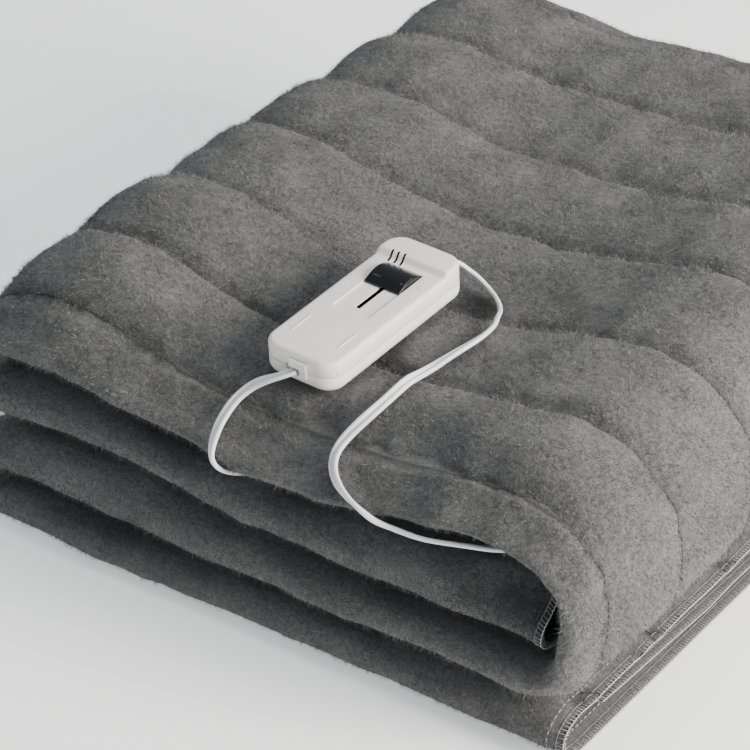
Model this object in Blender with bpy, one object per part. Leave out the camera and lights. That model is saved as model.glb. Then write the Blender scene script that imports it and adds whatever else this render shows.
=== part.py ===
"""Electric heated blanket, folded up, with its hand controller and flat cords lying on it.

Metres, +Z up. The blanket lies on z = 0. Its rolled front edges face -Y and its free ends face +X.
The origin is under the middle of the folded blanket.
"""

import math

import bmesh
import bpy
import numpy as np
from mathutils import Matrix, Vector

# ------------------------------------------------------------------ blanket
# Positions are first worked out from the near right corner of the folded blanket, then moved
# so that the origin is under its middle.
ORIGIN = (-0.2015, 0.2439)

CLOTH = 0.006  # two fleeces and the heating wire between them, where nothing puffs them up
SEAM_CLOTH = 0.004  # the same where a row of stitches draws them together
PUFF = 0.0065  # how far the outer fleece stands up between two rows of stitches
FRONT_REACH = 0.022  # depth of the rounded front edge of a folded layer
FLAP_FRONT = 0.042  # from the front edge of a layer back to the free edge folded inside it
UNDER_BACK = 0.006  # from the back edge of a layer to the hem of its lower face
LAST_SEAM = 0.012  # from the back edge of a layer to where its last channel ends
FIRST_SEAM = 0.004  # from the rounded front edge to the first row of stitches, at least
FRONT_PUFF = (0.42, 0.33)  # share of PUFF on the rounded front edge: its middle, and how it grows upwards
BACK_PUFF = 0.3  # and on the rounded back edge
PLAY = 0.001  # left free above the flap folded inside a layer
FLAP_LEAN = (0.8, 0.5)  # how the flap rises towards its free edge, and how it sags on the way

# Each layer is the blanket's width folded in three. The layers follow each other along the
# blanket's length, from the free end that lies lowest to the one inside the big turn on the right.
# Columns: x, height of the bottom, height of the top, y of the front edge, y of the back edge, puff.
LAYERS = {
    "lowest": (
        (0.0130, 0.0000, 0.0315, -0.0165, 0.4985, 0.0),
        (-0.1000, 0.0000, 0.0290, -0.0175, 0.5000, 0.0),
        (-0.2000, 0.0000, 0.0270, -0.0200, 0.4970, 0.0),
        (-0.3000, 0.0000, 0.0260, -0.0230, 0.4990, 0.0),
        (-0.3900, 0.0000, 0.0270, -0.0240, 0.5010, 0.0),
    ),
    "third": (
        (-0.3900, 0.0285, 0.0615, -0.0200, 0.5030, 0.0),
        (-0.3000, 0.0275, 0.0655, -0.0180, 0.5040, 0.0),
        (-0.2000, 0.0285, 0.0600, -0.0170, 0.5020, 0.0),
        (-0.1000, 0.0305, 0.0575, -0.0160, 0.5030, 0.0),
        (-0.0410, 0.0320, 0.0560, -0.0170, 0.5020, 0.0),
    ),
    "top": (
        (-0.0410, 0.1220, 0.1440, -0.0080, 0.5080, 0.40),
        (-0.0900, 0.1160, 0.1430, -0.0070, 0.5090, 0.85),
        (-0.1500, 0.1070, 0.1430, -0.0130, 0.5100, 1.0),
        (-0.2050, 0.1050, 0.1430, -0.0140, 0.5090, 1.0),
        (-0.2450, 0.1090, 0.1430, -0.0080, 0.5085, 1.0),
        (-0.3100, 0.1050, 0.1430, -0.0140, 0.5070, 1.0),
        (-0.3850, 0.1060, 0.1430, -0.0160, 0.5060, 1.0),
    ),
    "second": (
        (-0.3850, 0.0645, 0.0990, -0.0150, 0.5020, 0.0),
        (-0.3000, 0.0675, 0.0975, -0.0130, 0.4990, 0.0),
        (-0.2000, 0.0620, 0.0975, -0.0120, 0.5000, 0.0),
        (-0.1000, 0.0595, 0.0985, -0.0120, 0.4980, 0.0),
        (-0.0090, 0.0600, 0.0935, -0.0120, 0.5000, 0.0),
    ),
}
# The turns between those layers. Columns: which way it bulges, its depth, how square it starts,
# how square it ends, how far it sags, height of the folded cloth in it.
TURNS = (
    (-1, 0.0168, 2.0, 2.0, 0.0, 0.0300),
    (1, 0.0485, 4.6, 2.3, 0.002, 0.0215),
    (-1, 0.0220, 2.0, 2.0, 0.0, 0.0370),
)
# The rows of stitches on the upper side. Columns: y, how full the channel behind it is.
SEAMS = ((0.018, 0.85), (0.085, 1.5), (0.165, 1.0), (0.250, 1.05), (0.330, 0.95), (0.415, 1.1))
# Across one channel, from its back seam to its front one: share of its width, share of PUFF.
CHANNEL = ((0.0, 0.0), (0.12, 0.72), (0.42, 1.0), (0.76, 0.70))

# Soft hollows and rises of the pile of layers: middle x, middle y, half widths, height on top.
SWELLS = (
    dict(x=-0.196, y=0.124, wide=0.070, deep=0.032, rise=0.0060),
    dict(x=-0.352, y=0.050, wide=0.072, deep=0.520, rise=0.021),
    dict(x=-0.143, y=0.147, wide=0.150, deep=0.080, rise=-0.011),
    dict(x=-0.043, y=0.220, wide=0.084, deep=0.260, rise=0.025),
    dict(x=-0.165, y=0.461, wide=0.106, deep=0.118, rise=0.012),
)
SWELL_HEIGHT = 0.143  # where a swell has its full height; it dies out towards the floor
TURN_SWELL = 0.007  # how much further the big turn bulges behind its front edge
TURN_START = -0.050
TURN_FOOT = 0.0315
TURN_DEPTH = 0.055  # from the front edge back to where it bulges most
FRONT_Y = -0.015
FRONT_DROOP = 0.024  # how far the top layer sinks along its front edge
DROOP_DEPTH = 0.036


# --------------------------------------------------------------- controller
# Its own directions: x across, y from the near end to the far end, z up from its underside.
BOX_LENGTH = 0.1285
BOX_WIDTH = 0.052
BOX_HEIGHT = 0.021
BOX_CORNER = 0.012  # radius of its corners, seen from above
BOX_EDGE = 0.003  # radius of its upper edge
BOX_FOOT = 0.006  # radius of its lower edge
BOX_WALL = 0.002
INNER_EDGE = 0.001  # bevel of the cover's inner edge
INNER_FOOT = 0.0045  # bevel of the base's inner edge
SPLIT = 0.0108  # height of the joint between the two half shells
GAP = 0.0003  # between pieces that meet
HEAD_RISE = 0.0030  # the far end is raised by this
HEAD_SLOPE = (0.1065, 0.1115)  # from here to here along the box
BOX_MIDDLE = (-0.1994, 0.0975, 0.1495)  # of its underside, from the blanket's near right corner
BOX_PITCH = 3.3  # degrees, the far end higher
BOX_YAW = -1.9

SLOT_WIDTH = 0.0036
SLOT = (0.0570, 0.0955)
TRACK_WIDTH = 0.0262  # the shallow recess the knob slides in
TRACK = (0.0508, 0.1029)
TRACK_DEPTH = 0.0010
VENT_WIDTH = 0.0014
# The slots up the head's slope. Columns: near end's x, its y, far end's x, its y.
VENTS = (
    (-0.0137, 0.1040, -0.0152, 0.1124),
    (-0.0093, 0.1040, -0.0109, 0.1123),
    (-0.0050, 0.1038, -0.0065, 0.1126),
)
# The boss on the near end belongs half to the base and half to the cover. Its mouth is open to
# the left and to the front and goes a little way into the wall.
BOSS = dict(left=-0.0036, right=0.0086, out=0.0021, bottom=0.0076, top=0.0172)
MOUTH = dict(right=0.0040, inside=0.0012, bottom=0.0083, top=0.0127)

KNOB_REST = 0.0912  # middle of the knob in its farthest position
KNOB_TRAVEL = 0.0290
KNOB_WIDTH = 0.0254
KNOB_LENGTH = 0.022
KNOB_LIP = 0.0010
KNOB_HEIGHT = 0.0044
KNOB_CREST = 0.0010  # the arch is highest this far beyond the middle
KNOB_STEPS = 12
RIB = dict(y=-0.0055, long=0.0190, wide=0.0008, bottom=0.0020, top=0.0039)  # across the knob
STEM_WIDTH = 0.0026
STEM_LENGTH = 0.0060
FOOT_WIDTH = 0.0070
FOOT_HEIGHT = 0.0012

# -------------------------------------------------------------------- leads
# Both leads are flat, two cores side by side, and lie loosely on the blanket.
LEAD_WIDTH = 0.0070
LEAD_HEIGHT = 0.0036
LEAD_STEP = 0.0145  # between the points of a lead's curve
OUTLET = (0.0008, -0.0012, 0.0105)  # of the blanket's lead in the mouth, in the box's directions

RELIEF_X = 0.0060
RELIEF_HEIGHT = 0.0066  # its axis above the controller's underside
RELIEF_INSIDE = 0.0125  # length behind the controller's far wall
RELIEF_OUTSIDE = 0.0095
RELIEF_ROOT = (0.0090, 0.0058)
RELIEF_TIP = (0.0082, 0.0046)
RELIEF_TAPER = 0.4  # share of its length where it starts to taper
RELIEF_HOLE = 0.0075  # depth of its hole in the far wall
SECTION_POINTS = 12  # round the sleeve and the plug
SECTION_SQUARE = 0.6  # 1 is an ellipse, less is squarer

# From the near right corner of the folded blanket. The blanket's lead runs over the front edge
# and in between the two upper layers.
BLANKET_LEAD = (
    (-0.2044, 0.0277, 0.1545),
    (-0.2093, 0.0260, 0.1520),
    (-0.2148, 0.0242, 0.1490),
    (-0.2208, 0.0229, 0.1455),
    (-0.2249, 0.0206, 0.1420),
    (-0.2278, 0.0173, 0.1390),
    (-0.2298, 0.0141, 0.1362),
    (-0.2304, 0.0103, 0.1343),
    (-0.2304, 0.0074, 0.1325),
    (-0.2309, 0.0004, 0.1279),
    (-0.2287, -0.0070, 0.1248),
    (-0.2269, -0.0127, 0.1212),
    (-0.2250, -0.0176, 0.1152),
    (-0.2219, -0.0178, 0.1093),
    (-0.2179, -0.0119, 0.1047),
    (-0.2135, -0.0040, 0.1008),
    (-0.2075, 0.0070, 0.0985),
    (-0.2010, 0.0210, 0.0993),
    (-0.1900, 0.0400, 0.0993),
    (-0.1900, 0.0800, 0.0998),
    (-0.1900, 0.1300, 0.0989),
    (-0.1900, 0.1800, 0.0982),
    (-0.1900, 0.2500, 0.1016),
    (-0.1900, 0.3300, 0.1041),
    (-0.1900, 0.3850, 0.1062),
)
# The mains lead comes off the controller's far end, lies in a loop over the top, follows the
# front edge, runs through the big turn and comes out behind, down to the floor.
MAINS_LEAD = (
    (-0.1893, 0.1780, 0.1580),
    (-0.1858, 0.1806, 0.1545),
    (-0.1815, 0.1818, 0.1512),
    (-0.1765, 0.1833, 0.1475),
    (-0.1690, 0.1827, 0.1440),
    (-0.1614, 0.1772, 0.1435),
    (-0.1551, 0.1713, 0.1431),
    (-0.1508, 0.1637, 0.1445),
    (-0.1457, 0.1539, 0.1492),
    (-0.1390, 0.1412, 0.1534),
    (-0.1362, 0.1300, 0.1550),
    (-0.1370, 0.1200, 0.1545),
    (-0.1399, 0.1098, 0.1530),
    (-0.1430, 0.1000, 0.1512),
    (-0.1465, 0.0900, 0.1485),
    (-0.1480, 0.0780, 0.1490),
    (-0.1479, 0.0655, 0.1511),
    (-0.1470, 0.0457, 0.1505),
    (-0.1505, 0.0284, 0.1450),
    (-0.1550, 0.0160, 0.1372),
    (-0.1545, 0.0048, 0.1325),
    (-0.1508, -0.0017, 0.1279),
    (-0.1436, -0.0079, 0.1252),
    (-0.1314, -0.0136, 0.1227),
    (-0.1195, -0.0155, 0.1192),
    (-0.1138, -0.0147, 0.1157),
    (-0.1079, -0.0111, 0.1130),
    (-0.1017, -0.0104, 0.1125),
    (-0.0903, -0.0095, 0.1122),
    (-0.0839, -0.0089, 0.1125),
    (-0.0761, -0.0077, 0.1135),
    (-0.0686, -0.0059, 0.1145),
    (-0.0615, -0.0044, 0.1155),
    (-0.0530, -0.0025, 0.1165),
    (-0.0460, 0.0010, 0.1160),
    (-0.0410, 0.0080, 0.1135),
    (-0.0400, 0.0200, 0.1095),
    (-0.0400, 0.0400, 0.1060),
    (-0.0400, 0.0800, 0.1041),
    (-0.0400, 0.1300, 0.1047),
    (-0.0400, 0.1800, 0.1057),
    (-0.0400, 0.2500, 0.1082),
    (-0.0400, 0.3300, 0.1077),
    (-0.0400, 0.4150, 0.1061),
    (-0.0400, 0.4650, 0.1052),
    (-0.0402, 0.4850, 0.1055),
    (-0.0408, 0.4990, 0.1030),
    (-0.0420, 0.5090, 0.0955),
    (-0.0438, 0.5140, 0.0850),
    (-0.0460, 0.5140, 0.0720),
    (-0.0490, 0.5115, 0.0550),
    (-0.0530, 0.5115, 0.0300),
    (-0.0610, 0.5115, 0.0120),
    (-0.0760, 0.5116, 0.0036),
    (-0.0950, 0.5116, 0.0021),
)
COIL_MIDDLE = (-0.150, 0.5586)
COIL_RADIUS = 0.0470  # of the outermost turn's middle line
COIL_TURNS = 3
COIL_PITCH = 0.0072
COIL_HEIGHT = 0.0040
COIL_STEPS = 40
TAIL_SIDE = 0.0254  # how far from the coil's middle the tail leaves it
TAIL = (-0.0165, -0.0300, -0.0450, -0.0600, -0.0720)  # along the blanket, from the coil's middle

PLUG_LENGTH = 0.034
PLUG_WIDTH = 0.025
PLUG_HEIGHT = 0.0135
# From its cable end. Columns: share of the length, of the width, of the height.
PLUG_SECTIONS = (
    (0.0, 0.36, 0.45),
    (0.28, 0.5, 0.6),
    (0.5, 0.94, 0.94),
    (0.9, 1.0, 1.0),
    (1.0, 0.9, 0.9),
)
BLADE = (0.0170, 0.0015, 0.0063)  # length, thickness, width
BLADE_APART = 0.0127


def between(x, rows, column):
    """The value of one column at x, eased from row to row."""
    at = np.array([row[0] for row in rows])
    value = np.array([row[column] for row in rows])
    if at[0] > at[-1]:
        at, value = at[::-1], value[::-1]
    k = np.clip(np.searchsorted(at, x, side="right") - 1, 0, len(at) - 2)
    share = np.clip((x - at[k]) / (at[k + 1] - at[k]), 0, 1)
    return value[k] + (value[k + 1] - value[k]) * share * share * (3 - 2 * share)


def fold_line(layer_steps, turn_steps):
    """Stations along the blanket's length: x, z, the way out (nx, nz), height, front, back, puff."""
    parts = []
    names = list(LAYERS)
    for k, name in enumerate(names):
        rows = LAYERS[name]
        x = np.linspace(rows[0][0], rows[-1][0], layer_steps[k] + 1)
        bottom, top = between(x, rows, 1), between(x, rows, 2)
        z = (bottom + top) / 2
        run = math.copysign(1.0, rows[-1][0] - rows[0][0])
        nothing = np.zeros_like(x)
        others = [between(x, rows, column) for column in (3, 4, 5)]
        parts.append([x, z, nothing, nothing - run, top - bottom, *others])
        if k + 1 == len(names):
            break
        side, depth, square_start, square_end, sag, height = TURNS[k]
        after = LAYERS[names[k + 1]][0]
        start = [part[-1] for part in parts[-1]]
        end_z, end_height = (after[1] + after[2]) / 2, after[2] - after[1]
        share = np.linspace(0, 1, turn_steps[k] + 1)[1:-1]
        swing = math.pi * (share - 0.5)
        turned = np.clip(2 * share - 0.5, 0, 1)
        square = square_start + (square_end - square_start) * turned * turned * (3 - 2 * turned)
        reach = np.cos(swing) ** (2 / square)
        rise = np.sign(swing) * np.abs(np.sin(swing)) ** (2 / square)
        radius = (end_z - start[1]) / 2
        x = start[0] + side * depth * reach
        z = (start[1] + end_z) / 2 + radius * rise - sag * np.cos(swing) ** 2
        across = np.gradient(np.concatenate([[start[0]], x, [after[0]]]))[1:-1]
        along = np.gradient(np.concatenate([[start[1]], z, [end_z]]))[1:-1]
        size = np.hypot(across, along)
        ease = share * share * (3 - 2 * share)
        ends = start[4] + (end_height - start[4]) * ease
        tall = ends + (height - ends) * np.sin(math.pi * share)
        others = [start[c + 2] + (after[c] - start[c + 2]) * ease for c in (3, 4, 5)]
        parts.append([x, z, along / size, -across / size, tall, *others])
    return np.array([np.concatenate(column) for column in zip(*parts)])


def settled(points):
    """Points of the even pile moved to where the uneven one has them."""
    x, y, z = points[..., 0], points[..., 1], points[..., 2]
    share = np.maximum(z, 0) / SWELL_HEIGHT
    rise = np.zeros_like(z)
    for s in SWELLS:
        rise += s["rise"] * np.exp(-(((x - s["x"]) / s["wide"]) ** 2) - ((y - s["y"]) / s["deep"]) ** 2)
    behind = y - FRONT_Y
    droop = FRONT_DROOP * np.exp(-((behind / DROOP_DEPTH) ** 2))
    moved = points.copy()
    above = np.clip((z - TURN_FOOT) / TURN_FOOT, 0, 1) * np.clip((x - TURN_START) / -TURN_START, 0, 1)
    moved[..., 0] += TURN_SWELL * above * (1 - np.exp(-((behind / TURN_DEPTH) ** 2)))
    moved[..., 2] = z + rise * share**1.6 - droop * share**5
    return moved


def channel_stations(line, channel):
    """Across the upper side, front to back: y, share of the puff, share of a seam's drawing in."""
    front, back = line[5] + FRONT_REACH, line[6]
    stations = []
    for k, (seam, fullness) in enumerate(SEAMS):
        last = k + 1 == len(SEAMS)
        far = back - LAST_SEAM if last else SEAMS[k + 1][0]
        stations.append((np.maximum(front + FIRST_SEAM, seam), 0.0, 1.0))
        for share, puff in reversed(channel[1:]):
            stations.append((seam + (far - seam) * (1 - share), puff * fullness, 0.0))
    return stations


def cloth_surfaces(line, channel, steps):
    """The cloth's outer and inner faces, as grids of points: along its length, then across its width."""
    x, z, nx, nz, height, front, back, puff = line
    half = height / 2 - CLOTH / 2
    room = half - CLOTH - PLAY
    nothing, one = np.zeros_like(x), np.ones_like(x)
    lower, nose, turn, flap = steps
    rows = []  # y, height in the layer, normal's y and height, puff, drawing in

    nose_y, nose_reach = front + FRONT_REACH, FRONT_REACH - CLOTH / 2
    hem_y = back - UNDER_BACK
    for share in np.linspace(0, 1, lower + 1)[:-1]:
        rows.append((hem_y + (nose_y - hem_y) * share, -half, nothing, -one, 0.0, 0.0))
    for angle in np.linspace(-math.pi / 2, math.pi / 2, nose + 1):
        c, s = math.cos(angle), math.sin(angle)
        size = np.hypot(half * c, nose_reach * s)
        out_y, out_n = -half * c / size, nose_reach * s / size
        puffed = FRONT_PUFF[0] + FRONT_PUFF[1] * s
        rows.append((nose_y - nose_reach * c, half * s, out_y, out_n, puffed, 0.0))
    for y, puffed, drawn in channel_stations(line, channel):
        rows.append((y, half, nothing, one, puffed, drawn))
    radius = half / 2
    turn_y, flap_y = back - CLOTH / 2 - radius, front + FLAP_FRONT
    for angle in np.linspace(math.pi / 2, -math.pi / 2, turn + 1):
        c, s = math.cos(angle), math.sin(angle)
        puffed = BACK_PUFF * (1 + s)
        rows.append((turn_y + radius * c, radius + radius * s, one * c, one * s, puffed, 0.0))
    for share in np.linspace(0, 1, flap + 1)[1:]:
        lean = room * (FLAP_LEAN[0] * share**3 - FLAP_LEAN[1] * math.sin(math.pi * share))
        rows.append((turn_y + (flap_y - turn_y) * share, lean, nothing, -one, 0.0, 0.0))

    faces = []
    for way in (1, -1):
        grid = []
        for y, n, normal_y, normal_n, puffed, drawn in rows:
            if way == 1:
                thick = CLOTH / 2 + PUFF * puff * puffed
            else:
                thick = -(CLOTH / 2 - (CLOTH - SEAM_CLOTH) * drawn)
            out = n + normal_n * thick
            grid.append(np.stack([x + nx * out, y + normal_y * thick, z + nz * out], axis=-1))
        faces.append(settled(np.stack(grid, axis=1)))
    return faces


def sheet_mesh(name, outer, inner):
    """A closed sheet between two grids of points."""
    along, across = outer.shape[:2]
    index = np.arange(along * across).reshape(along, across)
    below = index + along * across
    quads = [
        np.stack([index[:-1, :-1], index[1:, :-1], index[1:, 1:], index[:-1, 1:]], -1).reshape(-1, 4),
        np.stack([below[:-1, :-1], below[:-1, 1:], below[1:, 1:], below[1:, :-1]], -1).reshape(-1, 4),
    ]
    for top, under in ((index[0], below[0]), (index[-1, ::-1], below[-1, ::-1])):
        quads.append(np.stack([top[:-1], top[1:], under[1:], under[:-1]], -1))
    for top, under in ((index[::-1, 0], below[::-1, 0]), (index[:, -1], below[:, -1])):
        quads.append(np.stack([top[:-1], top[1:], under[1:], under[:-1]], -1))
    points = np.concatenate([outer.reshape(-1, 3), inner.reshape(-1, 3)])
    points[:, :2] -= ORIGIN
    mesh = bpy.data.meshes.new(name)
    mesh.from_pydata(points.tolist(), [], np.concatenate(quads).tolist())
    work = bmesh.new()
    work.from_mesh(mesh)
    bmesh.ops.recalc_face_normals(work, faces=work.faces)
    bmesh.ops.triangulate(work, faces=work.faces)
    work.to_mesh(mesh)
    work.free()
    mesh.shade_smooth()
    return mesh


def add(name, mesh, material):
    thing = bpy.data.objects.new(name, mesh)
    thing.data.materials.append(material)
    bpy.context.scene.collection.objects.link(thing)
    return thing


def material(name, colour, roughness, metallic=0.0):
    made = bpy.data.materials.new(name)
    made.use_nodes = True
    shader = made.node_tree.nodes["Principled BSDF"]
    shader.inputs["Base Color"].default_value = (*colour, 1.0)
    shader.inputs["Roughness"].default_value = roughness
    shader.inputs["Metallic"].default_value = metallic
    return made


def eased(share):
    share = min(max(share, 0.0), 1.0)
    return share * share * (3 - 2 * share)


def box_loop(inset, height, lift):
    """One ring of points round the box: its right side from the near end, then its left side back."""
    half = BOX_WIDTH / 2 - inset
    radius = max(BOX_CORNER - inset, 0.002)
    near = inset + radius
    far = BOX_LENGTH - inset - radius
    side = []
    for step in range(5):
        angle = math.radians(-90 + 22.5 * step)
        side.append((half - radius + radius * math.cos(angle), near + radius * math.sin(angle)))
    slope = HEAD_SLOPE[1] - HEAD_SLOPE[0]
    side += [(half, HEAD_SLOPE[0] + slope * share) for share in (0.0, 0.25, 0.5, 0.75, 1.0)]
    for step in range(5):
        angle = math.radians(22.5 * step)
        side.append((half - radius + radius * math.cos(angle), far + radius * math.sin(angle)))
    ring = [(x, y, height + lift * HEAD_RISE * eased((y - HEAD_SLOPE[0]) / slope)) for x, y in side]
    return ring + [(-x, y, z) for x, y, z in reversed(ring)]


def closed_mesh(name, rings):
    """A closed mesh through rings of equal length; the first and last ring are each filled
    with strips between opposite points."""
    size = len(rings[0])
    work = bmesh.new()
    points = [[work.verts.new(point) for point in ring] for ring in rings]
    for ring, following in zip(points, points[1:]):
        for k in range(size):
            work.faces.new((ring[k], ring[(k + 1) % size], following[(k + 1) % size], following[k]))
    for ring in (points[0], points[-1]):
        for k in range(size // 2 - 1):
            work.faces.new((ring[k], ring[k + 1], ring[size - 2 - k], ring[size - 1 - k]))
    bmesh.ops.recalc_face_normals(work, faces=work.faces)
    mesh = bpy.data.meshes.new(name)
    work.to_mesh(mesh)
    work.free()
    return mesh


def block_mesh(name, low, high):
    work = bmesh.new()
    bmesh.ops.create_cube(work, size=1.0)
    for vert in work.verts:
        for axis in range(3):
            vert.co[axis] = (low[axis] + high[axis]) / 2 + vert.co[axis] * (high[axis] - low[axis])
    mesh = bpy.data.meshes.new(name)
    work.to_mesh(mesh)
    work.free()
    return mesh


def cutter(name, low, high, place, turn=0.0, middle=(0.0, 0.0)):
    """A block that a Boolean takes away; it isn't part of the object."""
    thing = bpy.data.objects.new(name, block_mesh(name, low, high))
    thing.parent = place
    thing.location = (*middle, 0.0)
    thing.rotation_euler = (0.0, 0.0, turn)
    thing.hide_render = True
    thing.display_type = "WIRE"
    bpy.context.scene.collection.objects.link(thing)
    return thing


def shape(thing, other, operation):
    step = thing.modifiers.new(other.name, "BOOLEAN")
    step.object = other
    step.operation = operation
    step.solver = "EXACT"


def smooth(thing, degrees=35):
    thing.data.shade_smooth()
    thing.data.set_sharp_from_angle(angle=math.radians(degrees))


def controller_place():
    place = bpy.data.objects.new("controller_place", None)
    bpy.context.scene.collection.objects.link(place)
    turn = Matrix.Rotation(math.radians(BOX_YAW), 4, "Z") @ Matrix.Rotation(math.radians(BOX_PITCH), 4, "X")
    middle = Vector(BOX_MIDDLE) - Vector((*ORIGIN, 0.0))
    place.matrix_world = Matrix.Translation(middle) @ turn @ Matrix.Translation((0, -BOX_LENGTH / 2, 0))
    return place


def with_boss(shell, place, low_z, high_z):
    """The shell's half of the boss, with the mouth cut into it."""
    low = (BOSS["left"], -BOSS["out"], low_z)
    high = (BOSS["right"], BOX_WALL / 2, high_z)
    shape(shell, cutter(f"{shell.name}_boss", low, high, place), "UNION")
    low = (BOSS["left"] * 2, -BOSS["out"] * 2, MOUTH["bottom"])
    high = (MOUTH["right"], MOUTH["inside"], MOUTH["top"])
    shape(shell, cutter(f"{shell.name}_mouth", low, high, place), "DIFFERENCE")


def make_base(place, plastic):
    under = SPLIT - GAP / 2
    rings = []
    for angle in (0, 30, 60, 90):
        inset = BOX_FOOT * (1 - math.sin(math.radians(angle)))
        rings.append(box_loop(inset, BOX_FOOT * (1 - math.cos(math.radians(angle))), 0))
    rings += [box_loop(0.0, under, 0), box_loop(BOX_WALL, under, 0)]
    bevel = BOX_WALL + INNER_FOOT
    rings += [box_loop(BOX_WALL, bevel, 0), box_loop(bevel, BOX_WALL, 0)]
    base = add("controller_base", closed_mesh("controller_base", rings), plastic)
    base.parent = place
    with_boss(base, place, BOSS["bottom"], under)
    width, height = RELIEF_ROOT
    hole_low = (RELIEF_X - width / 2 - GAP, BOX_LENGTH - RELIEF_HOLE, RELIEF_HEIGHT - height / 2 - GAP)
    hole_high = (RELIEF_X + width / 2 + GAP, BOX_LENGTH + BOX_WALL, RELIEF_HEIGHT + height / 2 + GAP)
    shape(base, cutter("relief_hole", hole_low, hole_high, place), "DIFFERENCE")
    smooth(base)
    return base


def make_cover(place, plastic):
    above = SPLIT + GAP / 2
    shoulder = BOX_HEIGHT - BOX_EDGE
    rings = [box_loop(0.0, above, 0), box_loop(0.0, shoulder, 1)]
    for angle in (30, 60, 90):
        inset = BOX_EDGE * (1 - math.cos(math.radians(angle)))
        rings.append(box_loop(inset, shoulder + BOX_EDGE * math.sin(math.radians(angle)), 1))
    inner = [box_loop(BOX_WALL, above, 0), box_loop(BOX_WALL, shoulder, 1)]
    inner.append(box_loop(BOX_WALL + INNER_EDGE, BOX_HEIGHT - BOX_WALL, 1))
    cover = add("controller_cover", closed_mesh("controller_cover", rings[::-1] + inner), plastic)
    cover.parent = place
    with_boss(cover, place, above, BOSS["top"])
    low = (-TRACK_WIDTH / 2, TRACK[0], BOX_HEIGHT - TRACK_DEPTH)
    high = (TRACK_WIDTH / 2, TRACK[1], BOX_HEIGHT + BOX_EDGE)
    shape(cover, cutter("track", low, high, place), "DIFFERENCE")
    low = (-SLOT_WIDTH / 2, SLOT[0], SPLIT)
    high = (SLOT_WIDTH / 2, SLOT[1], BOX_HEIGHT + BOX_EDGE)
    shape(cover, cutter("slot", low, high, place), "DIFFERENCE")
    for k, (near_x, near_y, far_x, far_y) in enumerate(VENTS):
        length = math.hypot(far_x - near_x, far_y - near_y)
        low = (-VENT_WIDTH / 2, 0.0, SPLIT)
        high = (VENT_WIDTH / 2, length, BOX_HEIGHT + BOX_EDGE * 2)
        turn = -math.atan2(far_x - near_x, far_y - near_y)
        shape(cover, cutter(f"vent_{k + 1}", low, high, place, turn, (near_x, near_y)), "DIFFERENCE")
    smooth(cover)
    return cover


def knob_profile():
    """The knob's side view: y along the box, z from its underside."""
    half = KNOB_LENGTH / 2
    top = []
    for share in np.linspace(0, 1, KNOB_STEPS + 1):
        y = -half + KNOB_LENGTH * share
        reach = half + KNOB_CREST if y < KNOB_CREST else half - KNOB_CREST
        arch = 1 - ((y - KNOB_CREST) / reach) ** 2
        top.append((y, KNOB_LIP + (KNOB_HEIGHT - KNOB_LIP) * arch))
    return [(-half, 0.0)] + top + [(half, 0.0)]


def make_knob(place, plastic):
    """The knob with its rib, stem and foot; its origin is under its middle, in the recess."""
    profile = knob_profile()
    work = bmesh.new()
    sides = []
    for side in (-1, 1):
        sides.append([work.verts.new((side * KNOB_WIDTH / 2, y, z)) for y, z in profile])
    left, right = sides
    size = len(profile)
    for k in range(size):
        work.faces.new((left[k], left[(k + 1) % size], right[(k + 1) % size], right[k]))
    work.faces.new(left)
    work.faces.new(right[::-1])
    bmesh.ops.recalc_face_normals(work, faces=work.faces)
    mesh = bpy.data.meshes.new("slider_knob")
    work.to_mesh(mesh)
    work.free()
    knob = add("slider_knob", mesh, plastic)
    knob.parent = place
    knob.location = (0.0, KNOB_REST, BOX_HEIGHT - TRACK_DEPTH + GAP)
    ceiling = TRACK_DEPTH - BOX_WALL - 2 * GAP
    long, wide = RIB["long"] / 2, RIB["wide"] / 2
    parts = {
        "stem": (
            (-STEM_WIDTH / 2, -STEM_LENGTH / 2, ceiling - GAP),
            (STEM_WIDTH / 2, STEM_LENGTH / 2, GAP),
        ),
        "foot": (
            (-FOOT_WIDTH / 2, -STEM_LENGTH / 2, ceiling - FOOT_HEIGHT),
            (FOOT_WIDTH / 2, STEM_LENGTH / 2, ceiling),
        ),
        "rib": ((-long, RIB["y"] - wide, RIB["bottom"]), (long, RIB["y"] + wide, RIB["top"])),
    }
    for name, (low, high) in parts.items():
        shape(knob, cutter(name, low, high, knob), "UNION")
    smooth(knob)
    return knob


def make_blanket():
    line = fold_line(layer_steps=(5, 5, 11, 5), turn_steps=(6, 10, 7))
    outer, inner = cloth_surfaces(line, CHANNEL, steps=(6, 6, 4, 4))
    fleece = material("fleece", (0.13, 0.13, 0.125), 0.95)
    return add("blanket", sheet_mesh("blanket", outer, inner), fleece)


def smooth_route(points, step):
    """Points a step apart on a smooth curve through the given ones."""
    given = np.array(points, dtype=float)
    padded = np.concatenate([[2 * given[0] - given[1]], given, [2 * given[-1] - given[-2]]])
    share = np.linspace(0, 1, 12, endpoint=False)[:, None]
    fine = []
    for a, b, c, d in zip(padded, padded[1:], padded[2:], padded[3:]):
        bend = 2 * a - 5 * b + 4 * c - d
        twist = -a + 3 * b - 3 * c + d
        fine.append(b + ((c - a) * share + bend * share**2 + twist * share**3) / 2)
    fine = np.concatenate([*fine, given[-1:]])
    run = np.concatenate([[0], np.cumsum(np.linalg.norm(np.diff(fine, axis=0), axis=1))])
    at = np.linspace(0, run[-1], round(run[-1] / step) + 1)
    return np.stack([np.interp(at, run, fine[:, axis]) for axis in range(3)], axis=1)


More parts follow.
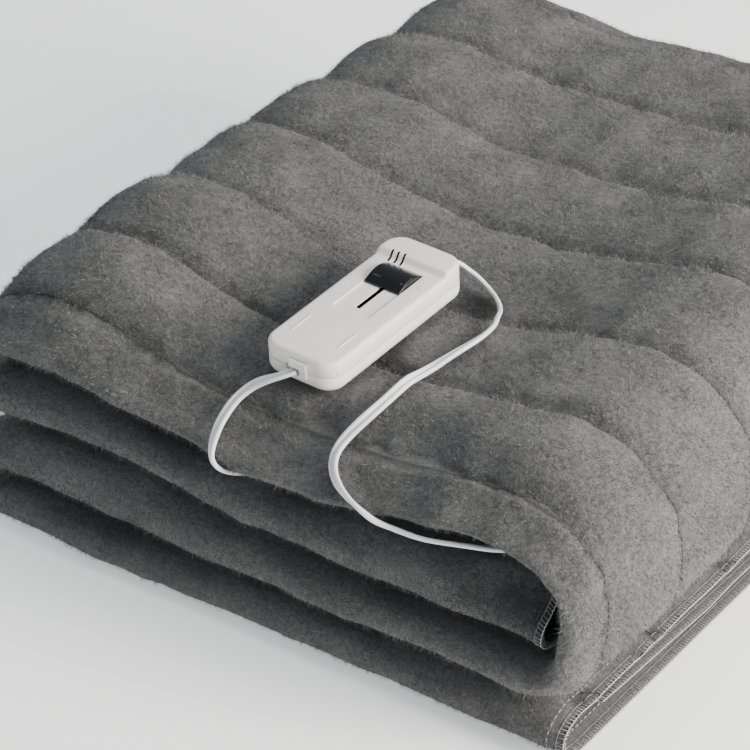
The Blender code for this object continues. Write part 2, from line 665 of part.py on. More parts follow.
def make_lead(name, route, plastic):
    """A plain round solid as thick as the flat lead, straight at first and then along its route."""
    curve = bpy.data.curves.new(name, "CURVE")
    curve.dimensions = "3D"
    curve.bevel_depth = LEAD_HEIGHT / 2
    curve.bevel_resolution = 2
    curve.use_fill_caps = True
    points = np.concatenate([[route[0]], smooth_route(route[1:], LEAD_STEP)])
    spline = curve.splines.new("POLY")
    spline.points.add(len(points) - 1)
    for target, point in zip(spline.points, points):
        target.co = (*(point - np.array([*ORIGIN, 0.0])), 1.0)
    return add(name, curve, plastic)


def section_ring(y, width, height, middle_x, middle_z):
    """Points of a rounded section, in mirrored pairs."""
    ring = []
    for k in range(SECTION_POINTS):
        angle = 2 * math.pi * (k + 0.5) / SECTION_POINTS - math.pi / 2
        c, s = math.cos(angle), math.sin(angle)
        x = math.copysign(abs(c) ** SECTION_SQUARE, c) * width / 2
        z = math.copysign(abs(s) ** SECTION_SQUARE, s) * height / 2
        ring.append((middle_x + x, y, middle_z + z))
    return ring


def make_relief(place, rubber):
    """The tapered sleeve through the controller's far wall."""
    start, end = BOX_LENGTH - RELIEF_INSIDE, BOX_LENGTH + RELIEF_OUTSIDE
    rings = []
    for share in (0.0, RELIEF_TAPER, (1 + RELIEF_TAPER) / 2, 1.0):
        taper = max(share - RELIEF_TAPER, 0.0) / (1 - RELIEF_TAPER)
        width = RELIEF_ROOT[0] + (RELIEF_TIP[0] - RELIEF_ROOT[0]) * taper
        height = RELIEF_ROOT[1] + (RELIEF_TIP[1] - RELIEF_ROOT[1]) * taper
        rings.append(section_ring(start + (end - start) * share, width, height, RELIEF_X, RELIEF_HEIGHT))
    relief = add("mains_relief", closed_mesh("mains_relief", rings), rubber)
    relief.parent = place
    smooth(relief)
    return relief


def make_coil(plastic):
    """The ring that the coiled length of the mains lead fills."""
    outer = COIL_RADIUS + LEAD_WIDTH / 2
    inner = COIL_RADIUS - COIL_TURNS * COIL_PITCH - LEAD_WIDTH / 2
    soft = COIL_HEIGHT / 4
    profile = [(inner, soft), (inner + soft, 0.0), (outer - soft, 0.0), (outer, soft)]
    profile += [(radius, COIL_HEIGHT - height) for radius, height in reversed(profile)]
    work = bmesh.new()
    rings = []
    for k in range(COIL_STEPS):
        angle = 2 * math.pi * k / COIL_STEPS
        c, s = math.cos(angle), math.sin(angle)
        rings.append([work.verts.new((radius * c, radius * s, z)) for radius, z in profile])
    for k in range(COIL_STEPS):
        ring, following = rings[k], rings[(k + 1) % COIL_STEPS]
        for j in range(len(profile)):
            after = (j + 1) % len(profile)
            work.faces.new((ring[j], following[j], following[after], ring[after]))
    bmesh.ops.recalc_face_normals(work, faces=work.faces)
    mesh = bpy.data.meshes.new("mains_coil")
    work.to_mesh(mesh)
    work.free()
    coil = add("mains_coil", mesh, plastic)
    coil.location = (COIL_MIDDLE[0] - ORIGIN[0], COIL_MIDDLE[1] - ORIGIN[1], 0.0)
    smooth(coil)
    return coil


def make_plug(plastic, metal):
    """The moulded plug behind the coil, lying flat, and its two blades."""
    place = bpy.data.objects.new("plug_place", None)
    bpy.context.scene.collection.objects.link(place)
    rear = COIL_MIDDLE[0] + TAIL[-1] - GAP
    place.location = (rear - ORIGIN[0], COIL_MIDDLE[1] - TAIL_SIDE - ORIGIN[1], 0.0)
    place.rotation_euler = (0.0, 0.0, math.radians(90))
    middle = PLUG_HEIGHT / 2
    rings = []
    for share, wide, tall in PLUG_SECTIONS:
        rings.append(section_ring(share * PLUG_LENGTH, wide * PLUG_WIDTH, tall * PLUG_HEIGHT, 0.0, middle))
    body = add("plug_body", closed_mesh("plug_body", rings), plastic)
    body.parent = place
    smooth(body)
    length, thick, wide = BLADE
    for name, side in (("plug_blade_left", -1), ("plug_blade_right", 1)):
        low = (side * BLADE_APART / 2 - thick / 2, PLUG_LENGTH + GAP, middle - wide / 2)
        high = (side * BLADE_APART / 2 + thick / 2, PLUG_LENGTH + GAP + length, middle + wide / 2)
        blade = add(name, block_mesh(name, low, high), metal)
        blade.parent = place


def in_blanket_frame(place, point):
    """A point in the controller's directions, seen from the folded blanket's near right corner."""
    return tuple(place.matrix_world @ Vector(point) + Vector((*ORIGIN, 0.0)))


for thing in list(bpy.data.objects):
    bpy.data.objects.remove(thing)
make_blanket()
controller = controller_place()
white = material("warm white plastic", (0.68, 0.66, 0.63), 0.35)
make_base(controller, white)
make_cover(controller, white)
make_knob(controller, material("black plastic", (0.012, 0.012, 0.014), 0.15))

pvc = material("white flexible plastic", (0.72, 0.73, 0.76), 0.4)
make_relief(controller, pvc)
make_lead("blanket_lead", (in_blanket_frame(controller, OUTLET), *BLANKET_LEAD), pvc)
relief_end = [(RELIEF_X, BOX_LENGTH + RELIEF_OUTSIDE + on, RELIEF_HEIGHT) for on in (GAP, LEAD_HEIGHT)]
relief_end = [in_blanket_frame(controller, point) for point in relief_end]
coil_side = math.sqrt((COIL_RADIUS + LEAD_WIDTH / 2) ** 2 - (COIL_RADIUS - LEAD_HEIGHT / 2) ** 2)
floor_run = (COIL_MIDDLE[0] + coil_side + GAP, COIL_MIDDLE[1] - COIL_RADIUS, LEAD_HEIGHT / 2)
make_lead("mains_lead", (*relief_end, *MAINS_LEAD, floor_run), pvc)
make_coil(pvc)
tail_height = COIL_HEIGHT + GAP + LEAD_HEIGHT / 2
tail = [(COIL_MIDDLE[0] + x, COIL_MIDDLE[1] - TAIL_SIDE, tail_height) for x in TAIL]
make_lead("mains_tail", tail, pvc)
make_plug(pvc, material("nickelled brass", (0.75, 0.72, 0.66), 0.25, 1.0))
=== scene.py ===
import math

import bmesh
import bpy
import numpy as np
from mathutils import Matrix, Vector
from mathutils.bvhtree import BVHTree


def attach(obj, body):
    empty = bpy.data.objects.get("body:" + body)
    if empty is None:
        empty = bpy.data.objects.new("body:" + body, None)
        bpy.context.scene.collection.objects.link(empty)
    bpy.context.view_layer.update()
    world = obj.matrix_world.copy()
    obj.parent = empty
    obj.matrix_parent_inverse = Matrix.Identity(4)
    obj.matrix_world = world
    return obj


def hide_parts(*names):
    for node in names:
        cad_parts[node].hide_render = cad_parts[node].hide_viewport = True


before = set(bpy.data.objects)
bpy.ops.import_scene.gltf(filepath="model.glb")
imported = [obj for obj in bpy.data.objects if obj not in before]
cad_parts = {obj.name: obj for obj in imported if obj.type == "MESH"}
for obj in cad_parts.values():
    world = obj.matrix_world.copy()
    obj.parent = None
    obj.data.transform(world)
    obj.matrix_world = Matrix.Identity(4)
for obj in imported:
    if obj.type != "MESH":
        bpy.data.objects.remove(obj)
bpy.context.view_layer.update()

# A folded electric blanket with its hand controller and flat leads.
# Metres, +Z up. Shapes are worked out from the pile's near right corner and then moved.
pileCorner = np.array([0.2015, -0.2439, 0.0])


# Shader helpers
class Signal:
    # a socket that takes part in Python expressions: each operator adds one Math node
    def __init__(self, finish, socket):
        self.finish, self.socket = finish, socket

    def calc(self, operation, first, second=None):
        inputs = {0: first} if second is None else {0: first, 1: second}
        return self.finish.node("ShaderNodeMath", {"operation": operation}, inputs)

    def __add__(self, other):
        return self.calc("ADD", self, other)

    def __sub__(self, other):
        return self.calc("SUBTRACT", self, other)

    def __rsub__(self, other):
        return self.calc("SUBTRACT", other, self)

    def __mul__(self, other):
        return self.calc("MULTIPLY", self, other)

    def __pow__(self, other):
        return self.calc("POWER", self, other)

    __radd__, __rmul__ = __add__, __mul__


class Finish:
    # one material; node() makes any node: its type, its settings, its sockets' values or links
    def __init__(self, name, roughness=0.5, **fixed):
        self.material = bpy.data.materials.new(name)
        self.material.use_nodes = True
        self.tree = self.material.node_tree
        self.shader = self.tree.nodes["Principled BSDF"]
        self.shader.inputs["Roughness"].default_value = roughness
        for socket, value in fixed.items():
            self.shader.inputs[socket.replace("_", " ")].default_value = value

    def node(self, kind, settings=None, inputs=None, output=0):
        made = self.tree.nodes.new(kind)
        for key, value in (settings or {}).items():
            if key == "stops":
                ramp = made.color_ramp
                for k, (at, colour) in enumerate(value):
                    stop = ramp.elements[k] if k < 2 else ramp.elements.new(at)
                    stop.position, stop.color = at, (*colour, 1.0)
            else:
                setattr(made, key, value)
        for key, value in (inputs or {}).items():
            if isinstance(value, Signal):
                self.tree.links.new(value.socket, made.inputs[key])
            else:
                made.inputs[key].default_value = value
        return Signal(self, made.outputs[output])

    def place(self):
        return self.node("ShaderNodeTexCoord", output="Object")

    def noise(self, scale, detail=3.0, rough=0.55, distort=0.0, at=None, stretch=None):
        at = at or self.place()
        if stretch:
            at = self.node("ShaderNodeMapping", {}, {"Vector": at, "Scale": stretch})
        sockets = {"Vector": at, "Scale": scale, "Detail": detail}
        sockets.update({"Roughness": rough, "Distortion": distort})
        return self.node("ShaderNodeTexNoise", {}, sockets)

    def attribute(self, name):
        return self.node("ShaderNodeAttribute", {"attribute_name": name}, output="Fac")

    def ramp(self, factor, stops):
        return self.node("ShaderNodeValToRGB", {"stops": stops}, {0: factor})

    def mix(self, factor, first, second, blend="MIX"):
        settings = {"data_type": "RGBA", "blend_type": blend}
        return self.node("ShaderNodeMix", settings, {0: factor, 6: first, 7: second}, output=2)

    def bump(self, height, distance, strength=1.0, under=None):
        sockets = {"Height": height, "Distance": distance, "Strength": strength}
        if under:
            sockets["Normal"] = under
        return self.node("ShaderNodeBump", {}, sockets)

    def feed(self, **sockets):
        for name, value in sockets.items():
            self.tree.links.new(value.socket, self.shader.inputs[name.replace("_", " ")])
        return self.material


# Mesh helpers
def meshObject(name, points, faces, material, smooth=True, attributes=None):
    # an object at the origin from points, faces and one number per point for each attribute
    mesh = bpy.data.meshes.new(name)
    mesh.from_pydata(np.asarray(points, dtype=float).tolist(), [], [list(face) for face in faces])
    for key, values in (attributes or {}).items():
        layer = mesh.attributes.new(key, "FLOAT", "POINT")
        layer.data.foreach_set("value", np.asarray(values, dtype=np.float32))
    if smooth:
        mesh.shade_smooth()
    thing = bpy.data.objects.new(name, mesh)
    thing.data.materials.append(material)
    bpy.context.scene.collection.objects.link(thing)
    return thing


def gridFaces(rows, columns, closedAcross=False, start=0):
    # quads of a rows x columns grid of points, the columns joined in a loop if asked
    index = start + np.arange(rows * columns).reshape(rows, columns)
    if closedAcross:
        index = np.concatenate([index, index[:, :1]], axis=1)
    corners = [index[:-1, :-1], index[1:, :-1], index[1:, 1:], index[:-1, 1:]]
    return np.stack(corners, -1).reshape(-1, 4)


def capFaces(first, size):
    # strips between mirrored points fill a ring, and one triangle the tip of an uneven one
    last = first + size - 1
    strips = [(first + k, first + k + 1, last - 1 - k, last - k) for k in range(size // 2 - 1)]
    tip = first + size // 2
    return strips + ([(tip - 1, tip, tip + 1)] if size % 2 else [])


def outward(thing):
    # faces turned to point out of a closed surface
    work = bmesh.new()
    work.from_mesh(thing.data)
    bmesh.ops.remove_doubles(work, verts=work.verts, dist=1e-6)
    bmesh.ops.recalc_face_normals(work, faces=work.faces)
    work.to_mesh(thing.data)
    work.free()
    return thing


def loft(name, rings, material):
    # closed surface through equal rings; both ends closed by strips between mirrored points
    count, size = len(rings), len(rings[0])
    faces = gridFaces(count, size, closedAcross=True).tolist()
    faces += capFaces(0, size) + capFaces((count - 1) * size, size)
    return outward(meshObject(name, np.concatenate(rings), faces, material))


def unit(v):
    # each vector divided by its length
    return v / np.maximum(np.linalg.norm(v, axis=-1, keepdims=True), 1e-12)


def smoothCurve(points, step):
    # Catmull-Rom curve through the points, read off every step of its length
    given = np.array(points, dtype=float)
    padded = np.concatenate([[2 * given[0] - given[1]], given, [2 * given[-1] - given[-2]]])
    share = np.linspace(0, 1, 12, endpoint=False)[None, :, None]
    a, b, c, d = (padded[k:len(padded) - 3 + k, None, :] for k in range(4))
    bend, twist = 2 * a - 5 * b + 4 * c - d, -a + 3 * b - 3 * c + d
    fine = (b + ((c - a) * share + bend * share**2 + twist * share**3) / 2).reshape(-1, 3)
    fine = np.concatenate([fine, given[-1:]])
    return resample(fine, step)


def resample(line, step):
    # points at even distances along the line, about a step apart
    run = np.concatenate([[0], np.cumsum(np.linalg.norm(np.diff(line, axis=0), axis=1))])
    at = np.linspace(0, run[-1], max(int(round(run[-1] / step)), 1) + 1)
    return np.stack([np.interp(at, run, line[:, axis]) for axis in range(3)], axis=1)


def lineLength(line):
    # sum of the distances from point to point
    return float(np.linalg.norm(np.diff(line, axis=0), axis=1).sum())


def waves(seed, size, count=26, dims=2):
    # smooth random field: sum of sin(way . place + phase) over waves in random directions
    rng = np.random.default_rng(seed)
    ways = rng.normal(size=(count, dims))
    ways = ways / np.linalg.norm(ways, axis=1, keepdims=True)
    ways = ways * (2 * math.pi / (size * rng.uniform(0.7, 1.8, (count, 1))))
    phases = rng.uniform(0, 2 * math.pi, count)

    def field(*coordinates):
        total = 0
        for way, phase in zip(ways, phases):
            total = total + np.sin(sum(w * c for w, c in zip(way, coordinates)) + phase)
        return total / math.sqrt(count / 2)
    return field


# Camera
view = {"lens": 153.6, "from": (0.712212, -1.166961, 1.150108), "turn": 35.6, "down": 33.5}
camera = bpy.data.objects.new("camera", bpy.data.cameras.new("camera"))
camera.data.lens, camera.data.sensor_width = view["lens"], 36.0
turn, down = math.radians(view["turn"]), math.radians(view["down"])
across = Vector((math.cos(turn), math.sin(turn), 0.0))
look = Vector((-math.sin(turn) * math.cos(down), math.cos(turn) * math.cos(down), -math.sin(down)))
upward = across.cross(look)
camera.matrix_world = Matrix.Translation(np.array(view["from"]) + pileCorner) @ Matrix(
    (across, upward, -look)).transposed().to_4x4()
bpy.context.scene.collection.objects.link(camera)
bpy.context.scene.camera = camera
print("camera placed")

# The folded cloth
cloth = {
    "thick": 0.006, "seamThick": 0.004, "puff": 0.0065, "frontReach": 0.022, "flapFront": 0.042,
    # room under the folded flap, hem kept back, first row behind the nose, last seam from the back
    "flapRoom": .001, "hemBack": .006, "noseGap": .004, "lastSeam": .012,
    # how deep a seam pinches the outer face, length over which the sheet thins at its ends
    "pinch": .0012, "endThin": .008,
    # x, bottom, top, front, back, puff along each folded layer
    "layers": (
        ((.0130, 0, .0315, -.0165, .4985, 0), (-.1, 0, .029, -.0175, .5, 0), (-.2, 0, .027, -.02, .497, 0),
         (-.3, 0, .026, -.023, .499, 0), (-.39, 0, .027, -.024, .501, 0)),
        ((-.39, .0285, .0615, -.02, .503, 0), (-.3, .0275, .0655, -.018, .504, 0),
         (-.2, .0285, .06, -.017, .502, 0), (-.1, .0305, .0575, -.016, .503, 0),
         (-.041, .032, .056, -.017, .502, 0)),
        ((-.041, .122, .144, -.008, .508, .4), (-.09, .116, .143, -.007, .509, .85),
         (-.15, .107, .143, -.013, .51, 1), (-.205, .105, .143, -.014, .509, 1),
         (-.245, .109, .143, -.008, .5085, 1), (-.31, .105, .143, -.014, .507, 1),
         (-.385, .106, .143, -.016, .506, 1)),
        ((-.385, .0645, .099, -.015, .502, 0), (-.3, .0675, .0975, -.013, .499, 0),
         (-.2, .062, .0975, -.012, .5, 0), (-.1, .0595, .0985, -.012, .498, 0),
         (-.009, .06, .0935, -.012, .5, 0))),
    # side, depth, squareness at the start and the end, sag, height
    "turns": ((-1, .0168, 2, 2, 0, .03), (1, .0485, 4.6, 2.3, .002, .0215), (-1, .022, 2, 2, 0, .037)),
    "seams": ((.018, .85), (.085, 1.5), (.165, 1), (.25, 1.05), (.33, .95), (.415, 1.1)),
    # share of a channel's width from its back seam, share of its puff
    "channel": ((0, 0), (.03, .34), (.12, .72), (.26, .93), (.42, 1), (.6, .9), (.76, .7), (.9, .4),
                (.97, .18), (1, 0)),
    # x, y, half widths and rise of the pile's soft hollows and swells
    "swells": ((-.196, .124, .07, .032, .006), (-.352, .05, .072, .52, .021), (-.143, .147, .15, .08, -.011),
               (-.043, .22, .084, .26, .025), (-.165, .461, .106, .118, .012)),
    "swellHeight": .143, "turnSwell": .007, "turnStart": -.05, "turnFoot": .0315,
    "droop": .024, "droopDepth": .036,
    # fine hollows pressed into the top: x, y, half widths, depth
    "dents": ((-.178, .020, .013, .013, .0060), (-.139, .015, .007, .020, .0045),
              (-.112, .020, .020, .016, .0040), (-.205, .000, .030, .006, .0020)),
    # seed, size, depth and shift of the soft creases, then the same for the puckers along a seam
    "creases": ((3, .070, .0007, 1.8), (5, .026, .00045, 1.2), (8, .0105, .00018, 0)),
    "pucker": (11, .016, .0011, .4),
    # the second layer's front draws back beside the big turn: middle, half widths, how far back
    "hollow": ((-.032, -.008, .087), (.030, .024, .015), .016),
    # middle and half widths of the painted shade on the cloth and its pile in that hollow
    "shade": ((-.034, .004, .083), (.030, .020, .015)),
    # the top roll's lower edge hangs over the leads: x, half width, drop
    "lips": ((-.083, .042, .0034), (-.216, .013, .0030)),
    "layerSteps": (26, 22, 62, 26), "turnSteps": (20, 34, 22),
    "acrossSteps": (14, 18, 10, 16), "channelSteps": 13,
}


def between(x, rows, column):
    # eased from row to row
    at, value = np.array([r[0] for r in rows]), np.array([float(r[column]) for r in rows])
    if at[0] > at[-1]:
        at, value = at[::-1], value[::-1]
    k = np.clip(np.searchsorted(at, x, side="right") - 1, 0, len(at) - 2)
    share = np.clip((x - at[k]) / (at[k + 1] - at[k]), 0, 1)
    return value[k] + (value[k + 1] - value[k]) * share * share * (3 - 2 * share)


def foldLine():
    # layers lie straight; a turn is x = start + side*depth*cos(s)^(2/q), z = middle + radius*sin(s)^(2/q)
    parts = []
    for k, rows in enumerate(cloth["layers"]):
        x = np.linspace(rows[0][0], rows[-1][0], cloth["layerSteps"][k] + 1)
        low, high = between(x, rows, 1), between(x, rows, 2)
        run, nothing = math.copysign(1.0, rows[-1][0] - rows[0][0]), np.zeros_like(x)
        rest = [between(x, rows, c) for c in (3, 4, 5)]
        parts.append([x, (low + high) / 2, nothing, nothing - run, high - low, *rest])
        if k + 1 == len(cloth["layers"]):
            break
        side, depth, squareStart, squareEnd, sag, height = cloth["turns"][k]
        after = cloth["layers"][k + 1][0]
        start = [part[-1] for part in parts[-1]]
        endZ, endHeight = (after[1] + after[2]) / 2, after[2] - after[1]
        share = np.linspace(0, 1, cloth["turnSteps"][k] + 1)[1:-1]
        swing = math.pi * (share - 0.5)
        turned = np.clip(2 * share - 0.5, 0, 1)
        square = squareStart + (squareEnd - squareStart) * turned * turned * (3 - 2 * turned)
        reach = np.cos(swing) ** (2 / square)
        rise = np.sign(swing) * np.abs(np.sin(swing)) ** (2 / square)
        x = start[0] + side * depth * reach
        z = (start[1] + endZ) / 2 + (endZ - start[1]) / 2 * rise - sag * np.cos(swing) ** 2
        goX = np.gradient(np.concatenate([[start[0]], x, [after[0]]]))[1:-1]
        goZ = np.gradient(np.concatenate([[start[1]], z, [endZ]]))[1:-1]
        size = np.hypot(goX, goZ)
        ease = share * share * (3 - 2 * share)
        ends = start[4] + (endHeight - start[4]) * ease
        tall = ends + (height - ends) * np.sin(math.pi * share)
        others = [start[c + 2] + (after[c] - start[c + 2]) * ease for c in (3, 4, 5)]
        parts.append([x, z, goZ / size, -goX / size, tall, *others])
    return [np.concatenate(column) for column in zip(*parts)]


def bell(points, middle, wide):
    # exp(-sum of squared shares of the half widths)
    return np.exp(-(((points - np.array(middle)) / np.array(wide)) ** 2).sum(axis=-1))


def settled(points):
    # the even pile's points moved to where the uneven one has them: z gains bells of rise
    # times height^1.6 and loses the front's droop times height^5, y gains the bell of the hollow
    x, y, z = points[..., 0], points[..., 1], points[..., 2]
    share = np.maximum(z, 0) / cloth["swellHeight"]
    rise = sum(up * np.exp(-(((x - mx) / wide) ** 2) - ((y - my) / deep) ** 2)
               for mx, my, wide, deep, up in cloth["swells"])
    droop = cloth["droop"] * np.exp(-(((y + 0.015) / cloth["droopDepth"]) ** 2))
    above = np.clip((z - cloth["turnFoot"]) / cloth["turnFoot"], 0, 1)
    above = above * np.clip((x - cloth["turnStart"]) / -cloth["turnStart"], 0, 1)
    moved = points.copy()
    moved[..., 0] += cloth["turnSwell"] * above * (1 - np.exp(-(((y + 0.015) / 0.055) ** 2)))
    moved[..., 2] = z + rise * share**1.6 - droop * share**5
    middle, wide, back = cloth["hollow"]
    moved[..., 1] += back * bell(points, middle, wide)
    return moved


def clothGrids():
    # Outer and inner face as grids, along the length and across the width.
    # A row is a point of the section: front half, nose (an ellipse), channels, back turn (a half
    # circle), flap. Its face point is the fold line plus the row's place and the puff along its normal.
    x, z, nx, nz, height, front, back, puff = foldLine()
    thick = cloth["thick"]
    half = height / 2 - thick / 2
    room = half - thick - cloth["flapRoom"]
    nothing, one = np.zeros_like(x), np.ones_like(x)
    lower, nose, turnSteps, flap = cloth["acrossSteps"]
    noseY, noseReach = front + cloth["frontReach"], cloth["frontReach"] - thick / 2
    rows = []  # y, height in the layer, normal's y and height, puff, how far drawn in by a seam
    for share in np.linspace(0, 1, lower + 1)[:-1]:
        start = back - cloth["hemBack"]
        rows.append((start + (noseY - start) * share, -half, nothing, -one, 0.0, 0.0))
    for angle in np.linspace(-math.pi / 2, math.pi / 2, nose + 1):
        c, s = math.cos(angle), math.sin(angle)
        size = np.hypot(half * c, noseReach * s)
        rows.append((noseY - noseReach * c, half * s, -half * c / size, noseReach * s / size,
                     0.42 + 0.33 * s, 0.0))
    seamRows = []
    table = cloth["channel"]
    for k, (seam, fullness) in enumerate(cloth["seams"]):
        far = back - cloth["lastSeam"] if k + 1 == len(cloth["seams"]) else cloth["seams"][k + 1][0]
        seamRows.append(len(rows))
        rows.append((np.maximum(noseY + cloth["noseGap"], seam), half, nothing, one, 0.0, 1.0))
        for step in range(1, cloth["channelSteps"]):
            share = 0.5 - 0.5 * math.cos(math.pi * step / cloth["channelSteps"])
            share = 0.6 * share + 0.4 * step / cloth["channelSteps"]
            filled = float(between(np.array([1 - share]), table, 1)[0]) * fullness
            drawn = max(0.0, 1 - share * 14, 1 - (1 - share) * 14)
            rows.append((seam + (far - seam) * share, half, nothing, one, filled, drawn))
    radius = half / 2
    for angle in np.linspace(math.pi / 2, -math.pi / 2, turnSteps + 1):
        c, s = math.cos(angle), math.sin(angle)
        rows.append((back - thick / 2 - radius + radius * c, radius + radius * s, one * c, one * s,
                     0.3 + 0.3 * s, 0.0))
    turnY, flapY = back - thick / 2 - radius, front + cloth["flapFront"]
    for share in np.linspace(0, 1, flap + 1)[1:]:
        lean = room * (0.8 * share**3 - 0.5 * math.sin(math.pi * share))
        rows.append((turnY + (flapY - turnY) * share, lean, nothing, -one, 0.0, 0.0))

    faces = []
    length = np.concatenate([[0], np.cumsum(np.hypot(np.diff(x), np.diff(z)))])
    fromEnd = np.minimum(length, length[-1] - length)
    for way in (1, -1):
        grid = []
        for k, (y, n, normalY, normalN, filled, drawn) in enumerate(rows):
            # both faces draw together towards the overlocked edges
            edge = {0: 0.45, 1: 0.15}.get(min(k, len(rows) - 1 - k), 0.0)
            thin = 0.55 * np.exp(-((fromEnd / cloth["endThin"]) ** 2)) + edge
            if way == 1:
                out = thick / 2 * (1 - np.minimum(thin, 0.55)) + cloth["puff"] * puff * filled
                out = out - cloth["pinch"] * drawn * (puff > 0.3)
            else:
                out = -(thick / 2 * (1 - np.minimum(thin, 0.55)) - (thick - cloth["seamThick"]) * drawn)
            level = n + normalN * out
            hang = sum(drop * np.exp(-(((x - at) / wide) ** 2)) for at, wide, drop in cloth["lips"])
            underNose = np.clip(-2 * normalY, 0, 1) * np.clip(-2 * normalN, 0, 1)
            hang = hang * underNose * (puff > 0.3) * (way == 1)
            grid.append(np.stack([x + nx * level, y + normalY * out, z + nz * level - hang], axis=-1))
        faces.append(settled(np.stack(grid, axis=1)))
    drawn = np.array([row[5] for row in rows])
    return faces[0], faces[1], drawn, seamRows, length


def gridNormals(grid):
    # cross product of the two ways along the grid
    along, across = np.gradient(grid, axis=0), np.gradient(grid, axis=1)
    return unit(np.cross(along, across))


outer, inner, drawnIn, seamRows, alongLength = clothGrids()
stations, widthRows = outer.shape[:2]
rowLength = np.cumsum(np.concatenate([[0], np.linalg.norm(np.diff(outer, axis=1), axis=2).mean(axis=0)]))

# soft creases and puckers, always inwards, so the cloth stays within its solid
outNormals = gridNormals(outer)
if (outNormals * (outer - inner)).sum() < 0:
    outNormals = -outNormals
u, v = np.broadcast_arrays(alongLength[:, None], rowLength[None, :])  # place on the flat blanket
nearSeam = np.exp(-((1 - drawnIn[None, :]) * 1.6) ** 2) * (drawnIn[None, :] > 0)
fallen = sum(depth * (waves(seed, size)(u, v) - shift) for seed, size, depth, shift in cloth["creases"])
seed, size, depth, shift = cloth["pucker"]
fallen = np.minimum(fallen, 0) + depth * nearSeam * np.minimum(waves(seed, size, dims=1)(u) - shift, 0)
for dentX, dentY, wide, deep, depth in cloth["dents"]:
    here = np.exp(-(((outer[..., 0] - dentX) / wide) ** 2) - ((outer[..., 1] - dentY) / deep) ** 2)
    fallen = fallen - depth * here * (outer[..., 2] > 0.115)
onFloor = np.clip((outer[..., 2] - 0.001) / 0.004, 0, 1)
outer = outer + outNormals * (fallen * onFloor)[..., None]
print("cloth", stations, "x", widthRows, "length", round(alongLength[-1], 3), "width", round(rowLength[-1], 3))


def fleeceFinish(name, pile=False):
    # mottled grey fleece: clumps of pile, paler tips, a dark line down in the seams, and painted shade in the
    # hollow beside the big turn and at the trimmed ends
    made = Finish(name, 0.96, Sheen_Weight=0.12, Sheen_Roughness=0.6, Specular_IOR_Level=0.15)
    clumps = made.noise(330.0, 5.0, 0.68, 0.6)
    broadTone = made.noise(26.0, 3.0, 0.5)
    threads = made.noise(1500.0, 3.0, 0.7, 0.3)
    tone = clumps * 0.46 + broadTone * 0.18 + threads * 0.46 - 0.05
    if pile:
        tone = tone * 0.55 + made.attribute("tone") * 0.62 - 0.07
    colour = made.ramp(tone, ((0.28, (.030, .031, .032)), (0.46, (.088, .088, .087)),
                              (0.60, (.160, .160, .155)), (0.80, (.330, .328, .316))))
    if not pile:
        # the seam mask darkens the seams and also carries the painted shade of the hollow and of the trimmed
        # ends
        colour = made.mix((made.attribute("seam") ** 3.0) * 0.72, colour, (.018, .018, .019, 1))
        lumps = made.bump(clumps + made.noise(120.0, 4.0, 0.6) * 0.8, 0.0016, 0.85)
        return made.feed(Base_Color=colour, Normal=made.bump(threads, 0.0006, 0.8, under=lumps))
    return made.feed(Base_Color=colour)


fleece = fleeceFinish("fleece")


def sheetFaces(rows, columns):
    # both faces of the sheet and the strips that close its four edges
    index = np.arange(rows * columns).reshape(rows, columns)
    below = index + rows * columns
    quads = [gridFaces(rows, columns), gridFaces(rows, columns, start=rows * columns)[:, ::-1]]
    for top, under in ((index[0], below[0]), (index[-1, ::-1], below[-1, ::-1]),
                       (index[::-1, 0], below[::-1, 0]), (index[:, -1], below[:, -1])):
        quads.append(np.stack([top[:-1], top[1:], under[1:], under[:-1]], -1))
    return np.concatenate(quads)


endDistance = np.minimum(alongLength, alongLength[-1] - alongLength)
seamAndShadeMark = np.array(np.broadcast_to(drawnIn[None, :], (stations, widthRows)))
# painted shade: the cloth deep in the hollow beside the big turn is darkened through this mask
seamAndShadeMark = np.maximum(seamAndShadeMark, 0.9 * bell(outer, *cloth["shade"]))
seamAndShadeMark[[0, -1]] = 0.88  # the trimmed ends lie in the shade of the overlock
endShade = 0.8 * np.exp(-((endDistance / 0.030) ** 4))
innerMark = np.maximum(seamAndShadeMark, endShade[:, None])
clothPoints = np.concatenate([outer.reshape(-1, 3), inner.reshape(-1, 3)]) + pileCorner
# the seam attribute holds the dark seam lines and the painted shade of the hollow and of the ends
clothPiece = meshObject("blanketCloth", clothPoints, sheetFaces(stations, widthRows), fleece,
                        attributes={"seam": np.concatenate([seamAndShadeMark.ravel(), innerMark.ravel()])})
outward(clothPiece)
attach(clothPiece, "blanket")
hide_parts("blanket")
clothWork = bmesh.new()
clothWork.from_mesh(clothPiece.data)
clothTree = BVHTree.FromBMesh(clothWork)
clothWork.free()
print("blanket cloth made", len(clothPiece.data.polygons), "faces")

# Pile: short leaning hairs where the cloth is seen
pile = {"hairs": 168000, "length": (0.0014, 0.0038), "width": 0.00024, "lean": 0.75, "seed": 21, "pieces": 3,
        # way the nap lies, how much it swirls, size of a swirl, a hair's own stray
        "nap": (.25, -.45, -.35), "swirl": .55, "swirlSize": .030, "stray": .42,
        # how deep the roots lie, the least height, how much longer the outline's hairs are
        "buried": .0003, "lowest": .0003, "outline": .6,
        # where a look for open air starts and how far it goes; height under which the floor hides it
        "lookFrom": .0012, "lookFar": .09, "floorNear": .010}


